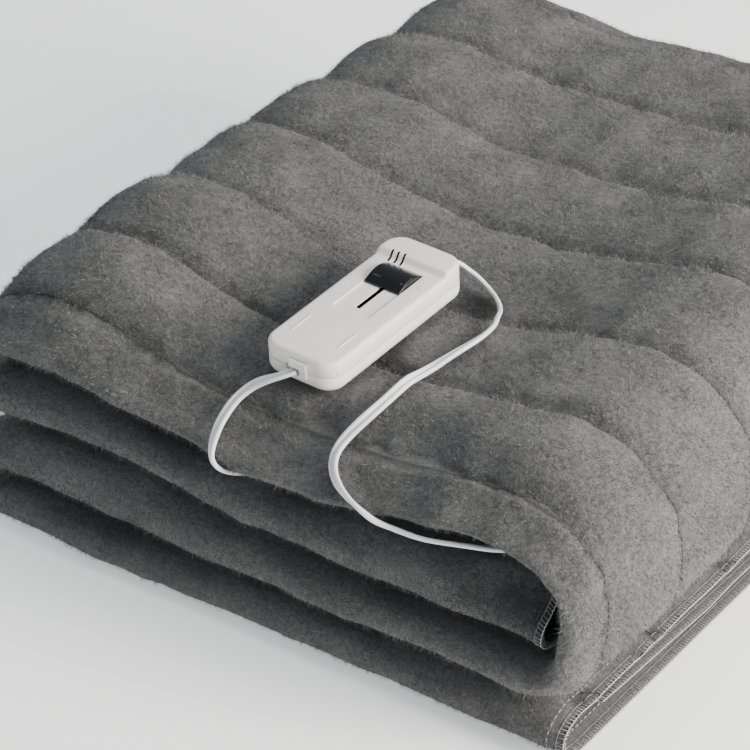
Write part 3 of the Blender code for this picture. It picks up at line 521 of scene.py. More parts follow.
def pileHairs():
    # A hair is one thin triangle from a random spot on an open cell of the cloth's outer face:
    # root + or - side, and root + way * length. Way = normal + lean * nap + stray.
    rng = np.random.default_rng(pile["seed"])
    a, b = outer[:-1, :-1], outer[1:, :-1]
    c, d = outer[1:, 1:], outer[:-1, 1:]
    middle = (a + b + c + d) / 4
    normal = unit(outNormals[:-1, :-1] + outNormals[1:, 1:])
    area = np.linalg.norm(np.cross(c - a, d - b), axis=-1) / 2
    flatMiddle, flatNormal = (middle + pileCorner).reshape(-1, 3), normal.reshape(-1, 3)
    tilts = np.array([[0, 0, 0], [0.9, 0, 0], [0, -0.9, 0], [-0.9, 0, 0], [0, 0.9, 0], [0, 0, 0.9]])
    isOpen = np.zeros(len(flatMiddle))
    for k in range(len(flatMiddle)):
        start = Vector(flatMiddle[k] + flatNormal[k] * pile["lookFrom"])
        free = [clothTree.ray_cast(start, Vector(flatNormal[k] + tilt), pile["lookFar"])[0] is None
                for tilt in tilts]
        isOpen[k] = sum(free) / len(free)
    facing = np.clip(0.35 + 0.65 * (flatNormal @ -np.array(look)), 0.12, 1)
    spread = np.pad(isOpen.reshape(area.shape), 1, mode="edge")
    spread = (spread[1:-1, 1:-1] * 2 + spread[:-2, 1:-1] + spread[2:, 1:-1]
              + spread[1:-1, :-2] + spread[1:-1, 2:]) / 6
    lifted = np.clip(flatMiddle[:, 2] / pile["floorNear"], 0, 1) ** 2
    weight = area.ravel() * spread.ravel() * facing * lifted
    total = pile["hairs"] * pile["pieces"]
    cell = rng.choice(len(weight), size=total, p=weight / weight.sum())
    s, t = rng.random((total, 1)), rng.random((total, 1))
    pick = [g.reshape(-1, 3)[cell] for g in (a, b, c, d)]
    root = (pick[0] * (1 - s) + pick[1] * s) * (1 - t) + (pick[3] * (1 - s) + pick[2] * s) * t
    root = root + pileCorner
    up = flatNormal[cell]
    swirl = [waves(40 + axis, pile["swirlSize"], dims=3) for axis in range(3)]
    nap = np.stack([f(*root.T) for f in swirl], axis=-1) * pile["swirl"] + np.array(pile["nap"])
    way = unit(up * 0.8 + pile["lean"] * nap + rng.normal(size=(total, 3)) * pile["stray"])
    way = unit(way + up * np.maximum(0.25 - (way * up).sum(axis=1, keepdims=True), 0))
    tall = rng.uniform(*pile["length"], (total, 1)) * (0.75 + 0.5 * rng.random((total, 1)) ** 3)
    tall = tall * (1 + pile["outline"] * (1 - np.abs(up @ np.array(look))[:, None]) ** 2)
    side = unit(np.cross(way, rng.normal(size=(total, 3)))) * pile["width"] / 2
    root = root - up * pile["buried"]
    points = np.stack([root - side, root + side, root + way * tall], axis=1)
    points[..., 2] = np.maximum(points[..., 2], pile["lowest"])
    # painted shade: hairs deep in the hollow beside the big turn get a darker tone
    caveShade = bell(points[:, 0] - pileCorner, *cloth["shade"])
    tone = np.clip(rng.normal(0.5, 0.27, total), 0, 1) - 1.1 * caveShade
    return points, tone


hairPoints, hairTone = pileHairs()
pileFinish = fleeceFinish("fleecePile", pile=True)
for k in range(pile["pieces"]):
    share = slice(k * pile["hairs"], (k + 1) * pile["hairs"])
    points = hairPoints[share].reshape(-1, 3)
    corners = np.arange(len(points)).reshape(-1, 3)
    piece = meshObject(f"fleecePile{k + 1}", points, corners.tolist(), pileFinish, smooth=False,
                       attributes={"tone": np.repeat(hairTone[share], 3)})
    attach(piece, "blanket")
print("pile made", pile["hairs"] * pile["pieces"], "hairs")

# Threads: stitches along the seams and hems, overlock round the edges
threads = {"stitch": 0.0029, "space": 0.0016, "hemIn": 0.010,
           "rungStep": 0.0024, "rungIn": 0.0042, "rungRadius": 0.00014, "chainRadius": 0.00013,
           "edgeRadius": 0.00026, "jitter": 0.22, "seed": 33,
           # height over the cloth of the seams', the hems' and the overlock's threads
           "seamLift": .0003, "hemLift": .0006, "overLift": .0004}


def threadFinish(name, colour):
    # spun thread: a fine uneven tone and a fine twist in the surface
    made = Finish(name, 0.7, Specular_IOR_Level=0.3)
    tone = made.noise(900.0, 3.0)
    shade = made.mix(tone, (*(0.72 * c for c in colour), 1), (*colour, 1))
    return made.feed(Base_Color=shade, Normal=made.bump(made.noise(2600.0), 0.0002, 0.5))


def bars(name, paths, radii, material, sides=4):
    # thin closed bars: round each path point a ring, point = path + radius*(first*cos + second*sin)
    count, size = paths.shape[:2]
    along = unit(np.gradient(paths, axis=1))
    helper = np.where(np.abs(along[..., 2:]) > 0.8, np.array([1.0, 0, 0]), np.array([0, 0, 1.0]))
    first = unit(np.cross(along, helper))
    second = np.cross(along, first)
    angle = np.arange(sides) * 2 * math.pi / sides
    ring = first[:, :, None] * np.cos(angle)[:, None] + second[:, :, None] * np.sin(angle)[:, None]
    points = paths[:, :, None] + ring * np.asarray(radii)[None, :, None, None]
    points[..., 2] = np.maximum(points[..., 2], 0)  # the lowest layer's threads lie pressed on the floor
    base = (np.arange(count) * size * sides)[:, None, None, None]
    i, j = np.arange(size - 1)[:, None], np.arange(sides)[None, :]
    quad = np.stack([i * sides + j, i * sides + (j + 1) % sides, (i + 1) * sides + (j + 1) % sides,
                     (i + 1) * sides + j], axis=-1)
    walls, turn = (base + quad[None]).reshape(-1, 4), np.arange(sides)
    ends = np.concatenate([base[:, 0, 0] + turn[::-1], base[:, 0, 0] + (size - 1) * sides + turn])
    return meshObject(name, points.reshape(-1, 3), walls.tolist() + ends.tolist(), material)


def stitchRow(line, normals, lift):
    # stitches of a running seam: from each start a short bowed bar along the line
    pitch = threads["stitch"] + threads["space"]
    run = np.concatenate([[0], np.cumsum(np.linalg.norm(np.diff(line, axis=0), axis=1))])
    starts = np.arange(pitch / 2, run[-1] - pitch, pitch)
    at = starts[:, None] + threads["stitch"] * np.linspace(0, 1, 4)[None, :]
    spot = np.stack([np.interp(at, run, line[:, axis]) for axis in range(3)], axis=-1)
    up = unit(np.stack([np.interp(at, run, normals[:, axis]) for axis in range(3)], axis=-1))
    bow = np.array([-0.0002, 1.0, 1.0, -0.0002])[None, :, None]
    return spot + up * lift * bow + pileCorner


paleThread = threadFinish("paleThread", (.72, .72, .71))
darkThread = threadFinish("darkThread", (.035, .035, .036))
seamPaths = [stitchRow(outer[:, k], outNormals[:, k], threads["seamLift"]) for k in seamRows]
seamStitches = bars("seamStitches", np.concatenate(seamPaths), [.00012, .0003, .0003, .00012], darkThread)

hemPaths = []
for end in (0, stations - 1):
    # the row of stitches lies hemIn from the end, between two rows of the grid
    inwards = 1 if end == 0 else -1
    fromThis = np.abs(alongLength - alongLength[end])
    k = min(max(int(np.argmin(np.abs(fromThis - threads["hemIn"]))), 1), stations - 2)
    share = (threads["hemIn"] - fromThis[k]) / abs(alongLength[k + inwards] - alongLength[k])
    for face, way in ((outer, 1), (inner, -1)):
        hemLine = face[k] + (face[k + inwards] - face[k]) * share
        hemPaths.append(stitchRow(hemLine, way * outNormals[k], threads["hemLift"]))
hemStitches = bars("hemStitches", np.concatenate(hemPaths), [.0001, .00018, .00018, .0001], paleThread)


def overlock(row, inwards, step):
    # rungs over the edge from face to face, and a chain of thread along both faces and the edge
    outerEdge, outerNext, innerEdge, innerNext = outer[row], outer[inwards], inner[row], inner[inwards]
    run = np.concatenate([[0], np.cumsum(np.linalg.norm(np.diff(outerEdge, axis=0), axis=1))])
    starts = np.arange(step / 2, run[-1] - step, step)
    rng = np.random.default_rng(threads["seed"])
    shaken = starts + rng.uniform(-1, 1, len(starts)) * threads["jitter"] * step

    def along(line, at):
        return np.stack([np.interp(at, run, line[:, axis]) for axis in range(3)], axis=-1)
    depth = threads["rungIn"]
    outIn = outerEdge + unit(outerNext - outerEdge) * depth
    inIn = innerEdge + unit(innerNext - innerEdge) * depth
    away = unit((outerEdge + innerEdge) / 2 - (outIn + inIn) / 2)
    upOuter = unit(outerEdge - innerEdge)
    lift = threads["overLift"]
    lines = [outIn + upOuter * lift, outerEdge + (upOuter + away) * lift,
             innerEdge + (away - upOuter) * lift, inIn - upOuter * lift]
    slant = np.array([0.0, 0.0006, 0.0009, 0.0014])
    rungs = np.stack([along(line, shaken + s) for line, s in zip(lines, slant)], axis=1)
    at = starts[:, None] + step * 1.25 * np.linspace(-0.1, 1, 4)[None, :]
    chain = [along(line, at) for line in (lines[0], lines[3])]
    bows = (-.0003, .0002, .0002, -.0003)
    rim = np.stack([along(lines[1] + away * bow, at[:, k]) for k, bow in enumerate(bows)], axis=1)
    return rungs + pileCorner, np.concatenate(chain) + pileCorner, rim + pileCorner


# the two ends, then the two long edges
whole, stride = slice(None), threads["rungStep"]
edges = [overlock(0, 1, stride), overlock(-1, -2, stride),
         overlock((whole, 0), (whole, 1), stride * 1.2), overlock((whole, -1), (whole, -2), stride * 1.2)]
threadPieces = [seamStitches, hemStitches]
for name, part, radius in (("overlockRungs", 0, "rungRadius"), ("overlockChain", 1, "chainRadius"),
                           ("overlockEdge", 2, "edgeRadius")):
    paths = np.concatenate([edge[part] for edge in edges])
    threadPieces.append(bars(name, paths, [threads[radius]] * 4, paleThread, 3))
for piece in threadPieces:
    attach(piece, "blanket")
print("threads made")

# Hand controller
box = {
    "length": .1285, "width": .052, "height": .021, "corner": .012, "edge": .003, "foot": .006, "wall": .002,
    "split": .0108, "gap": .0003, "innerEdge": .001, "innerFoot": .0045,
    "headRise": .003, "headSlope": (.1065, .1115), "middle": (-.1994, .0975, .1495), "pitch": 3.3, "yaw": -1.9,
    "slotWidth": .0036, "slot": (.0570, .0955),
    "trackWidth": .0262, "track": (.0508, .1029), "trackDepth": .001, "ventWidth": .0014,
    "vents": ((-.0137, .1040, -.0152, .1124), (-.0093, .1040, -.0109, .1123), (-.0050, .1038, -.0065, .1126)),
    # left, right, out, low, high of the boss; right, inside, low, high of its mouth
    "boss": (-.0036, .0086, .0021, .0076, .0172), "mouth": (.0040, .0012, .0083, .0127),
    # x, z, inside and outside length of the strain relief; its root's and tip's width and height
    "relief": (.0060, .0066, .0125, .0095), "reliefRoot": (.0090, .0058), "reliefTip": (.0082, .0046),
    "reliefHole": .0075, "outlet": (.0008, -.0012, .0105),
    # a pin mark: middle, radius, depth; the dark plate inside, painted shade under the vents: its low and high
    # corners
    "dimple": ((.0242, .0057, .0139), .0011, .0006), "board": ((-.0190, .0420, .0150), (.0190, .1190, .0162)),
}
turned = Matrix.Rotation(math.radians(box["yaw"]), 4, "Z") @ Matrix.Rotation(math.radians(box["pitch"]), 4, "X")
boxPlace = Matrix.Translation(Vector(box["middle"]) + Vector(pileCorner)) @ turned
boxPlace = np.array(boxPlace @ Matrix.Translation((0, -box["length"] / 2, 0)))


def onBox(points):
    # from the controller's own directions to the model's
    return np.asarray(points, dtype=float) @ boxPlace[:3, :3].T + boxPlace[:3, 3]


def boxLoop(inset, height, lift):
    # a rounded rectangle: straight sides and quarter circles, z raised by a smooth step over the head
    half, radius = box["width"] / 2 - inset, max(box["corner"] - inset, .002)
    near, far = inset + radius, box["length"] - inset - radius
    a = np.radians(np.linspace(-90, 0, 13))
    b = np.radians(np.linspace(0, 90, 13))
    slopeStart, slopeEnd = box["headSlope"]
    slope = np.linspace(slopeStart, slopeEnd, 9)
    inner = half - radius
    x = np.concatenate([inner + radius * np.cos(a), np.full(len(slope), half), inner + radius * np.cos(b)])
    y = np.concatenate([near + radius * np.sin(a), slope, far + radius * np.sin(b)])
    s = np.clip((y - slopeStart) / (slopeEnd - slopeStart), 0, 1)
    z = height + lift * box["headRise"] * s * s * (3 - 2 * s)
    ring = np.stack([x, y, z], axis=-1)
    return np.concatenate([ring, ring[::-1] * np.array([-1, 1, 1])])


def blockTool(low, high, turn=0.0, middle=(0.0, 0.0), finish=None):
    # a block that cuts or adds; removed again after use
    corners = np.array([[(low, high)[i][0], (low, high)[j][1], (low, high)[k][2]]
                        for i in (0, 1) for j in (0, 1) for k in (0, 1)])
    c, s = math.cos(turn), math.sin(turn)
    corners[:, :2] = corners[:, :2] @ np.array([[c, s], [-s, c]]) + np.array(middle)
    quads = ((0, 1, 3, 2), (4, 6, 7, 5), (0, 4, 5, 1), (2, 3, 7, 6), (0, 2, 6, 4), (1, 5, 7, 3))
    return outward(meshObject("tool", corners, quads, finish or shellFinish, smooth=False))


def carved(thing, steps):
    # the tools joined to the piece or cut from it, one after the other, and then removed
    for operation, tool in steps:
        step = thing.modifiers.new("carve", "BOOLEAN")
        step.object, step.operation, step.solver, step.material_mode = tool, operation, "EXACT", "TRANSFER"
    bpy.context.view_layer.update()
    made = bpy.data.meshes.new_from_object(thing.evaluated_get(bpy.context.evaluated_depsgraph_get()))
    thing.modifiers.clear()
    thing.data = made
    for operation, tool in steps:
        bpy.data.objects.remove(tool)
    return thing


def shifted(thing, placeOf):
    # the mesh's points put where placeOf sends them
    points = np.empty(len(thing.data.vertices) * 3)
    thing.data.vertices.foreach_get("co", points)
    thing.data.vertices.foreach_set("co", placeOf(points.reshape(-1, 3)).ravel())


def seated(thing, degrees=30):
    # a piece of the controller put in its place, with edges past so many degrees kept sharp
    shifted(thing, onBox)
    thing.data.shade_smooth()
    thing.data.set_sharp_from_angle(angle=math.radians(degrees))
    thing.data.update()
    return thing


def moulded(name, colour, roughness, grain=0.00004, **fixed):
    # moulded plastic: a faint cloud of tone, a slightly uneven gloss, a fine skin
    made = Finish(name, roughness, **fixed)
    cloud = made.noise(45.0, 3.0)
    shade = made.mix(cloud * 0.5, (*colour, 1), (*(0.93 * c for c in colour), 1))
    gloss = roughness - 0.05 + made.noise(160.0, 4.0) * 0.1
    skin = made.bump(made.noise(1700.0, 3.0), grain, 0.6)
    return made.feed(Base_Color=shade, Roughness=gloss, Normal=skin)


shellFinish = moulded("warmWhitePlastic", (.80, .78, .73), 0.36)
# near-black finish: painted shade on the vents' cut walls and on the plate inside the shell
insideShadeFinish = moulded("paintedInsideShade", (.010, .012, .011), 0.6)
knobFinish = moulded("glossyBlackPlastic", (.0045, .005, .0065), 0.15, 0.00001, Specular_IOR_Level=0.45)
under, above = box["split"] - box["gap"] / 2, box["split"] + box["gap"] / 2
wall = box["wall"]
bossLeft, bossRight, bossOut, bossLow, bossHigh = box["boss"]
mouthRight, mouthInside, mouthLow, mouthHigh = box["mouth"]
reliefX, reliefZ, reliefInside, reliefOutside = box["relief"]
rootWidth, rootHeight = box["reliefRoot"]
holeWide, holeTall = rootWidth / 2 + box["gap"], rootHeight / 2 + box["gap"]


def roundedEdge(radius):
    # inset and rise of a quarter circle
    return [(radius * (1 - math.cos(t)), radius * math.sin(t)) for t in np.radians(np.linspace(0, 90, 9))]


def bossSteps(low, high):
    # a shell's half of the boss, then the mouth cut into it
    boss = blockTool((bossLeft, -bossOut, low), (bossRight, wall / 2, high))
    mouth = blockTool((bossLeft * 2, -bossOut * 2, mouthLow), (mouthRight, mouthInside, mouthHigh))
    return [("UNION", boss), ("DIFFERENCE", mouth)]


bevel = wall + box["innerFoot"]
rings = [boxLoop(inset, box["foot"] - rise, 0) for inset, rise in reversed(roundedEdge(box["foot"]))]
rings += [boxLoop(0, under - .0004, 0), boxLoop(.0002, under, 0), boxLoop(wall, under, 0)]
rings += [boxLoop(wall, bevel, 0), boxLoop(bevel, wall, 0)]
reliefCut = blockTool((reliefX - holeWide, box["length"] - box["reliefHole"], reliefZ - holeTall),
                      (reliefX + holeWide, box["length"] + wall, reliefZ + holeTall))
lowerShell = loft("controllerLowerShell", rings, shellFinish)
seated(carved(lowerShell, [*bossSteps(bossLow, under), ("DIFFERENCE", reliefCut)]))
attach(lowerShell, "blanket")
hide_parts("controller_base")

top = box["height"]
innerRings = [boxLoop(wall + box["innerEdge"], top - wall, 1), boxLoop(wall, top - box["edge"], 1)]
steps = [*bossSteps(above, bossHigh),
         ("DIFFERENCE", blockTool((-box["trackWidth"] / 2, box["track"][0], top - box["trackDepth"]),
                                  (box["trackWidth"] / 2, box["track"][1], top + box["edge"]))),
         ("DIFFERENCE", blockTool((-box["slotWidth"] / 2, box["slot"][0], box["split"]),
                                  (box["slotWidth"] / 2, box["slot"][1], top + box["edge"])))]
# the vents' cut walls take the near-black finish: painted shade in the slots
for nearX, nearY, farX, farY in box["vents"]:
    run = math.hypot(farX - nearX, farY - nearY)
    steps.append(("DIFFERENCE", blockTool((-box["ventWidth"] / 2, 0, box["split"]),
                                          (box["ventWidth"] / 2, run, top + box["edge"] * 2),
                                          -math.atan2(farX - nearX, farY - nearY), (nearX, nearY), insideShadeFinish)))
# a shallow round pin mark on the near right corner
(dimpleX, dimpleY, _), dimpleRadius, dimpleDepth = box["dimple"]
facing = unit(np.array([dimpleX - box["width"] / 2 + box["corner"], dimpleY - box["corner"], 0]))
turning = np.linspace(0, 2 * math.pi, 17)[:-1, None]
disc = np.cos(turning) * np.array([-facing[1], facing[0], 0]) + np.sin(turning) * np.array([0, 0, 1.0])
pin = [np.array(box["dimple"][0]) + disc * dimpleRadius + facing * out
       for out in (-dimpleDepth, dimpleDepth * 2)]
steps.append(("DIFFERENCE", loft("tool", pin, shellFinish)))
rings = [boxLoop(0, above + .0004, 0)]
rings += [boxLoop(inset, top - box["edge"] + rise, 1) for inset, rise in roundedEdge(box["edge"])]
rings = [*innerRings, boxLoop(wall, above, 0), boxLoop(.0002, above, 0), *rings]
upperShell = seated(carved(loft("controllerUpperShell", rings, shellFinish), steps))
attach(upperShell, "blanket")
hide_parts("controller_cover")
# a near-black plate inside under the vents: painted shade seen through them
boardLow, boardHigh = box["board"]
board = seated(blockTool(boardLow, boardHigh), 20)
board.name = board.data.name = "controllerBoard"
board.data.materials.clear()
board.data.materials.append(insideShadeFinish)
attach(board, "blanket")
print("controller shells made")


# raised marks on the cover: two bars, small rings and strokes in rows beside the slider
marks = {
    "bars": (.0165, .0175, .0357, .0010), "rings": (.0195, (.0622, .0721, .0821, .0916)), "radius": .0011,
    "leftRings": ((-.0205, .0630), (-.0185, .0715), (-.0212, .0814)),
    "strokes": ((-.0178, .0630), (-.0214, .0715), (-.0170, .0814)), "wide": .00056,
}


def ridges(name, paths, radius, sides=8):
    # rounded ridges half sunk in the cover's face: point = path + radius*(side*cos + up*sin)*ends
    points, faces, start = [], [], 0
    angle = np.arange(sides) * 2 * math.pi / sides
    for path in paths:
        line = resample(np.array([(*p, top) for p in path]), .0004)
        along = unit(np.gradient(line, axis=0))
        side = np.stack([-along[:, 1], along[:, 0], np.zeros(len(line))], axis=-1)
        ends = np.sqrt(np.clip(1 - np.linspace(-1, 1, len(line)) ** 8, 0.02, 1))[:, None, None]
        offset = side[:, None] * np.cos(angle)[:, None] + np.array([0, 0, 1.0]) * np.sin(angle)[:, None]
        points.append((line[:, None] + offset * radius * ends).reshape(-1, 3))
        faces += gridFaces(len(line), sides, closedAcross=True, start=start).tolist()
        faces += capFaces(start, sides) + capFaces(start + (len(line) - 1) * sides, sides)
        start += len(line) * sides
    thing = outward(meshObject(name, onBox(np.concatenate(points)), faces, shellFinish))
    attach(thing, "blanket")


def circle(x, y, radius):
    # a little more than one turn, so the ridge closes
    t = np.linspace(0, 2 * math.pi + .5, 24)
    return np.stack([x + radius * np.cos(t), y + radius * np.sin(t)], axis=-1)


barX, barStart, barEnd, barWide = marks["bars"]
ridges("controllerBars", [[(side * barX, barStart), (side * barX, barEnd)] for side in (-1, 1)], barWide / 2)
ringX, ringRows = marks["rings"]
spots = [*((ringX, y) for y in ringRows), *marks["leftRings"]]
ringPaths = [circle(x, y, marks["radius"]) for x, y in spots]
strokePaths = [[(x, y - marks["radius"]), (x, y + marks["radius"])] for x, y in marks["strokes"]]
ridges("controllerMarks", ringPaths + strokePaths, marks["wide"] / 2)


# Slider knob
knob = {"rest": .0912, "width": .0254, "length": .022, "lip": .001, "height": .0044, "crest": .001,
        "soft": .0007, "stem": (.0026, .0060), "foot": (.0070, .0012),
        # place along the knob, half length across it, half width, rise
        "rib": (-.0055, .0095, .0004, .0005)}


def knobSide(inset, ribbed):
    # side view: lip, then z = lip + rise*(1 - (y/reach)^2) with a rib, closed flat below
    half = knob["length"] / 2 - inset
    ribY, _, ribHalf, ribRise = knob["rib"]
    y = np.concatenate([np.linspace(-half, ribY - .002, 10)[:-1], np.linspace(ribY - .002, ribY + .002, 19),
                        np.linspace(ribY + .002, half, 22)[1:]])
    reach = np.where(y < knob["crest"], half + knob["crest"], half - knob["crest"])
    arch = 1 - ((y - knob["crest"]) / reach) ** 2
    z = knob["lip"] + (knob["height"] - inset - knob["lip"]) * arch
    z = z + ribbed * ribRise * np.exp(-(((y - ribY) / ribHalf / 1.15) ** 4))
    bottom = np.linspace(half, -half, len(y))
    return np.concatenate([np.stack([y, z], -1), np.stack([bottom, np.full(len(y), inset * .6)], -1)])


half, soft, ribEnd = knob["width"] / 2, knob["soft"], knob["rib"][1]
leftEnd = [(-half + soft * (1 - math.cos(t)), soft * (1 - math.sin(t)), 0)
           for t in np.radians(np.linspace(0, 90, 6))]
leftEnd += [(-ribEnd - .0004, 0, 0), (-ribEnd, 0, 1)]
profiles = leftEnd + [(-x, inset, ribbed) for x, inset, ribbed in reversed(leftEnd)]
base = top - box["trackDepth"] + box["gap"]
ringPoints = [np.insert(knobSide(inset, ribbed), 0, x, axis=1) + np.array([0, knob["rest"], base])
              for x, inset, ribbed in profiles]
knobPiece = loft("sliderKnob", ringPoints, knobFinish)
stemWide, stemLong = knob["stem"]
footWide, footTall = knob["foot"]
ceiling = base + box["trackDepth"] - wall - 2 * box["gap"]
carved(knobPiece, [
    ("UNION", blockTool((-stemWide / 2, knob["rest"] - stemLong / 2, ceiling - .0002),
                        (stemWide / 2, knob["rest"] + stemLong / 2, base + .0008), finish=knobFinish)),
    ("UNION", blockTool((-footWide / 2, knob["rest"] - stemLong / 2, ceiling - footTall),
                        (footWide / 2, knob["rest"] + stemLong / 2, ceiling), finish=knobFinish)),
])
seated(knobPiece, 40)
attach(knobPiece, "slider")
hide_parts("slider_knob")
print("knob made")

# Flat twin leads
lead = {
    "width": .0068, "height": .0028, "diameter": .0070, "web": 166.0, "step": .0022, "evened": 8,
    "blanket": (
        (-.2044, .0277, .1545), (-.2093, .0260, .1520), (-.2148, .0242, .1490), (-.2208, .0229, .1455),
        (-.2249, .0206, .1420), (-.2278, .0173, .1390), (-.2298, .0141, .1362), (-.2304, .0103, .1343),
        (-.2304, .0074, .1325), (-.2309, .0004, .1279), (-.2287, -.0070, .1248), (-.2269, -.0127, .1212),
        (-.2250, -.0176, .1152), (-.2219, -.0178, .1093), (-.2179, -.0119, .1047), (-.2135, -.0040, .1008),
        (-.2075, .0070, .0985), (-.2010, .0210, .0993), (-.1900, .0400, .0993), (-.1900, .0800, .0998),
        (-.1900, .1300, .0989), (-.1900, .1800, .0982), (-.1900, .2500, .1016), (-.1900, .3300, .1041),
        (-.1900, .3850, .1062)),
    "mains": (
        (-.1893, .1780, .1580), (-.1858, .1806, .1545), (-.1815, .1818, .1512), (-.1765, .1833, .1475),
        (-.1690, .1827, .1440), (-.1614, .1772, .1435), (-.1551, .1713, .1431), (-.1508, .1637, .1445),
        (-.1457, .1539, .1492), (-.1390, .1412, .1534), (-.1362, .1300, .1550), (-.1370, .1200, .1545),
        (-.1399, .1098, .1530), (-.1430, .1000, .1512), (-.1465, .0900, .1485), (-.1480, .0780, .1490),
        (-.1479, .0655, .1511), (-.1470, .0457, .1505), (-.1505, .0284, .1450), (-.1550, .0160, .1372),
        (-.1545, .0048, .1325), (-.1508, -.0017, .1279), (-.1436, -.0079, .1252), (-.1314, -.0136, .1227),
        (-.1195, -.0155, .1192), (-.1138, -.0147, .1157), (-.1079, -.0111, .1130), (-.1017, -.0104, .1125),
        (-.0903, -.0095, .1122), (-.0839, -.0089, .1125), (-.0761, -.0077, .1135), (-.0686, -.0059, .1145),
        (-.0615, -.0044, .1155), (-.0530, -.0025, .1165), (-.0460, .0010, .1160), (-.0410, .0080, .1135),
        (-.0400, .0200, .1095), (-.0400, .0400, .1060), (-.0400, .0800, .1041), (-.0400, .1300, .1047),
        (-.0400, .1800, .1057), (-.0400, .2500, .1082), (-.0400, .3300, .1077), (-.0400, .4150, .1061),
        (-.0400, .4650, .1052), (-.0402, .4850, .1055), (-.0408, .4990, .1030), (-.0420, .5090, .0955),
        (-.0438, .5140, .0850), (-.0460, .5140, .0720), (-.0490, .5115, .0550), (-.0530, .5115, .0300),
        (-.0610, .5115, .0120), (-.0760, .5116, .0036), (-.0950, .5116, .0021), (-.1120, .5116, .0018),
        (-.1310, .5116, .0018)),
    # how far the flat side is turned, in degrees, at metres along the lead
    "blanketTilts": ((0, -5), (.02, 0), (.04, 12), (.06, 19), (.072, 32), (.08, 40), (.09, 12), (.105, -20),
                     (.13, 0), (1, 0)),
    "mainsTilts": ((0, -38), (.012, -45), (.02, -69), (.036, -74), (.054, -104), (.066, -115),
                   (.08, -104), (.092, -131), (.11, -151), (.133, -166), (.145, -184), (.16, -201),
                   (.19, -187), (.205, -190), (.222, -176), (.24, -139), (.257, -102), (.266, -99),
                   (.278, -120), (.292, -160), (.31, -186), (.335, -206), (.355, -216), (.4, -180),
                   (3, -180)),
    "coilMiddle": (-.150, .5586), "coilRadius": .0470, "coilTurns": 3, "coilPitch": .0072, "coilHeight": .0018,
    # the last stretch to the plug: x from the coil's middle and height, and how far it lies to the side
    "tail": ((-.018, .0040), (-.026, .0058), (-.030, .0061), (-.045, .0061), (-.060, .0061), (-.072, .0061)),
    "tailSide": .0254,
    # how near the cloth a lead follows its slope, how evenly it turns
    "follows": .012, "turnEvened": 24,
    # width share at metres along each lead, where it leaves the controller
    "blanketScales": ((0, .74), (.006, .78), (.022, 1), (2, 1)), "mainsScales": ((0, .85), (.01, 1), (3, 1)),
}


def smoothed(values, passes):
    # each value drawn towards the mean of its neighbours, a quarter from each
    for _ in range(passes):
        values = np.concatenate([values[:1], (values[:-2] + 2 * values[1:-1] + values[2:]) / 4, values[-1:]])
    return values


def leadRoute(points, start):
    # an evened curve from the start through the points
    return smoothed(smoothCurve([start, *points], lead["step"]), lead["evened"])


def alongLead(line, table):
    # a table of (metres, value) read at every point of the line
    return np.interp(np.linspace(0, 1, len(line)) * lineLength(line), *zip(*table))


def flatWay(line, tilts):
    # the way the flat side faces: away from the nearest cloth, made even along the lead, then tilted
    ups = []
    for point in line:
        near, _, _, distance = clothTree.find_nearest(Vector(point + pileCorner))
        up = np.array(Vector(point + pileCorner) - near)
        ups.append(up if distance < lead["follows"] else np.array([0, 0, 1.0]))
    ups = unit(np.array(ups))
    along = unit(np.gradient(line, axis=0))
    for k in range(1, len(ups)):
        if ups[k] @ ups[k - 1] < 0:
            ups[k] = -ups[k]
    ups = smoothed(ups, lead["turnEvened"])
    ups = unit(ups - along * (ups * along).sum(axis=1, keepdims=True))
    angle = np.radians(alongLead(line, tilts))[:, None]
    side = np.cross(along, ups)
    return unit(ups * np.cos(angle) + side * np.sin(angle)), along


def twinSection():
    # two round cores side by side with a web: x = offset + radius*cos, y = radius*sin, and its mirror
    radius = lead["height"] / 2
    offset = lead["width"] / 2 - radius
    arcStep = np.radians(np.linspace(-lead["web"], lead["web"], 11))
    right = np.stack([offset + radius * np.cos(arcStep), radius * np.sin(arcStep)], -1)
    return np.concatenate([right, -right])


def flatLead(name, line, ups, along, scales):
    # the section carried along the line: point = line + side*x*scale + up*y
    section, wide = twinSection(), alongLead(line, scales)[:, None, None]
    side = np.cross(along, ups)
    points = line[:, None] + side[:, None] * (section[:, :1] * wide) + ups[:, None] * section[:, 1:]
    rows, columns = points.shape[:2]
    faces, core = gridFaces(rows, columns, closedAcross=True).tolist(), columns // 2
    for first in (0, (rows - 1) * columns):
        faces += capFaces(first, core) + capFaces(first + core, core)
        faces += [(first + core - 1, first + core, first + columns - 1, first)]
    return outward(meshObject(name, points.reshape(-1, 3) + pileCorner, faces, leadFinish))


leadFinish = moulded("whiteLead", (.78, .79, .82), 0.34, 0.00002)
outlet = onBox([box["outlet"]])[0] - pileCorner
blanketLine = leadRoute(lead["blanket"], outlet)
ups, along = flatWay(blanketLine, lead["blanketTilts"])
blanketLead = flatLead("blanketLead", blanketLine, ups, along, lead["blanketScales"])
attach(blanketLead, "blanket")
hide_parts("blanket_lead")
tuple(blanketLine[0] + pileCorner)
[tuple(p) for p in blanketLine + pileCorner]
print("blanket lead", round(lineLength(blanketLine), 3), "m")

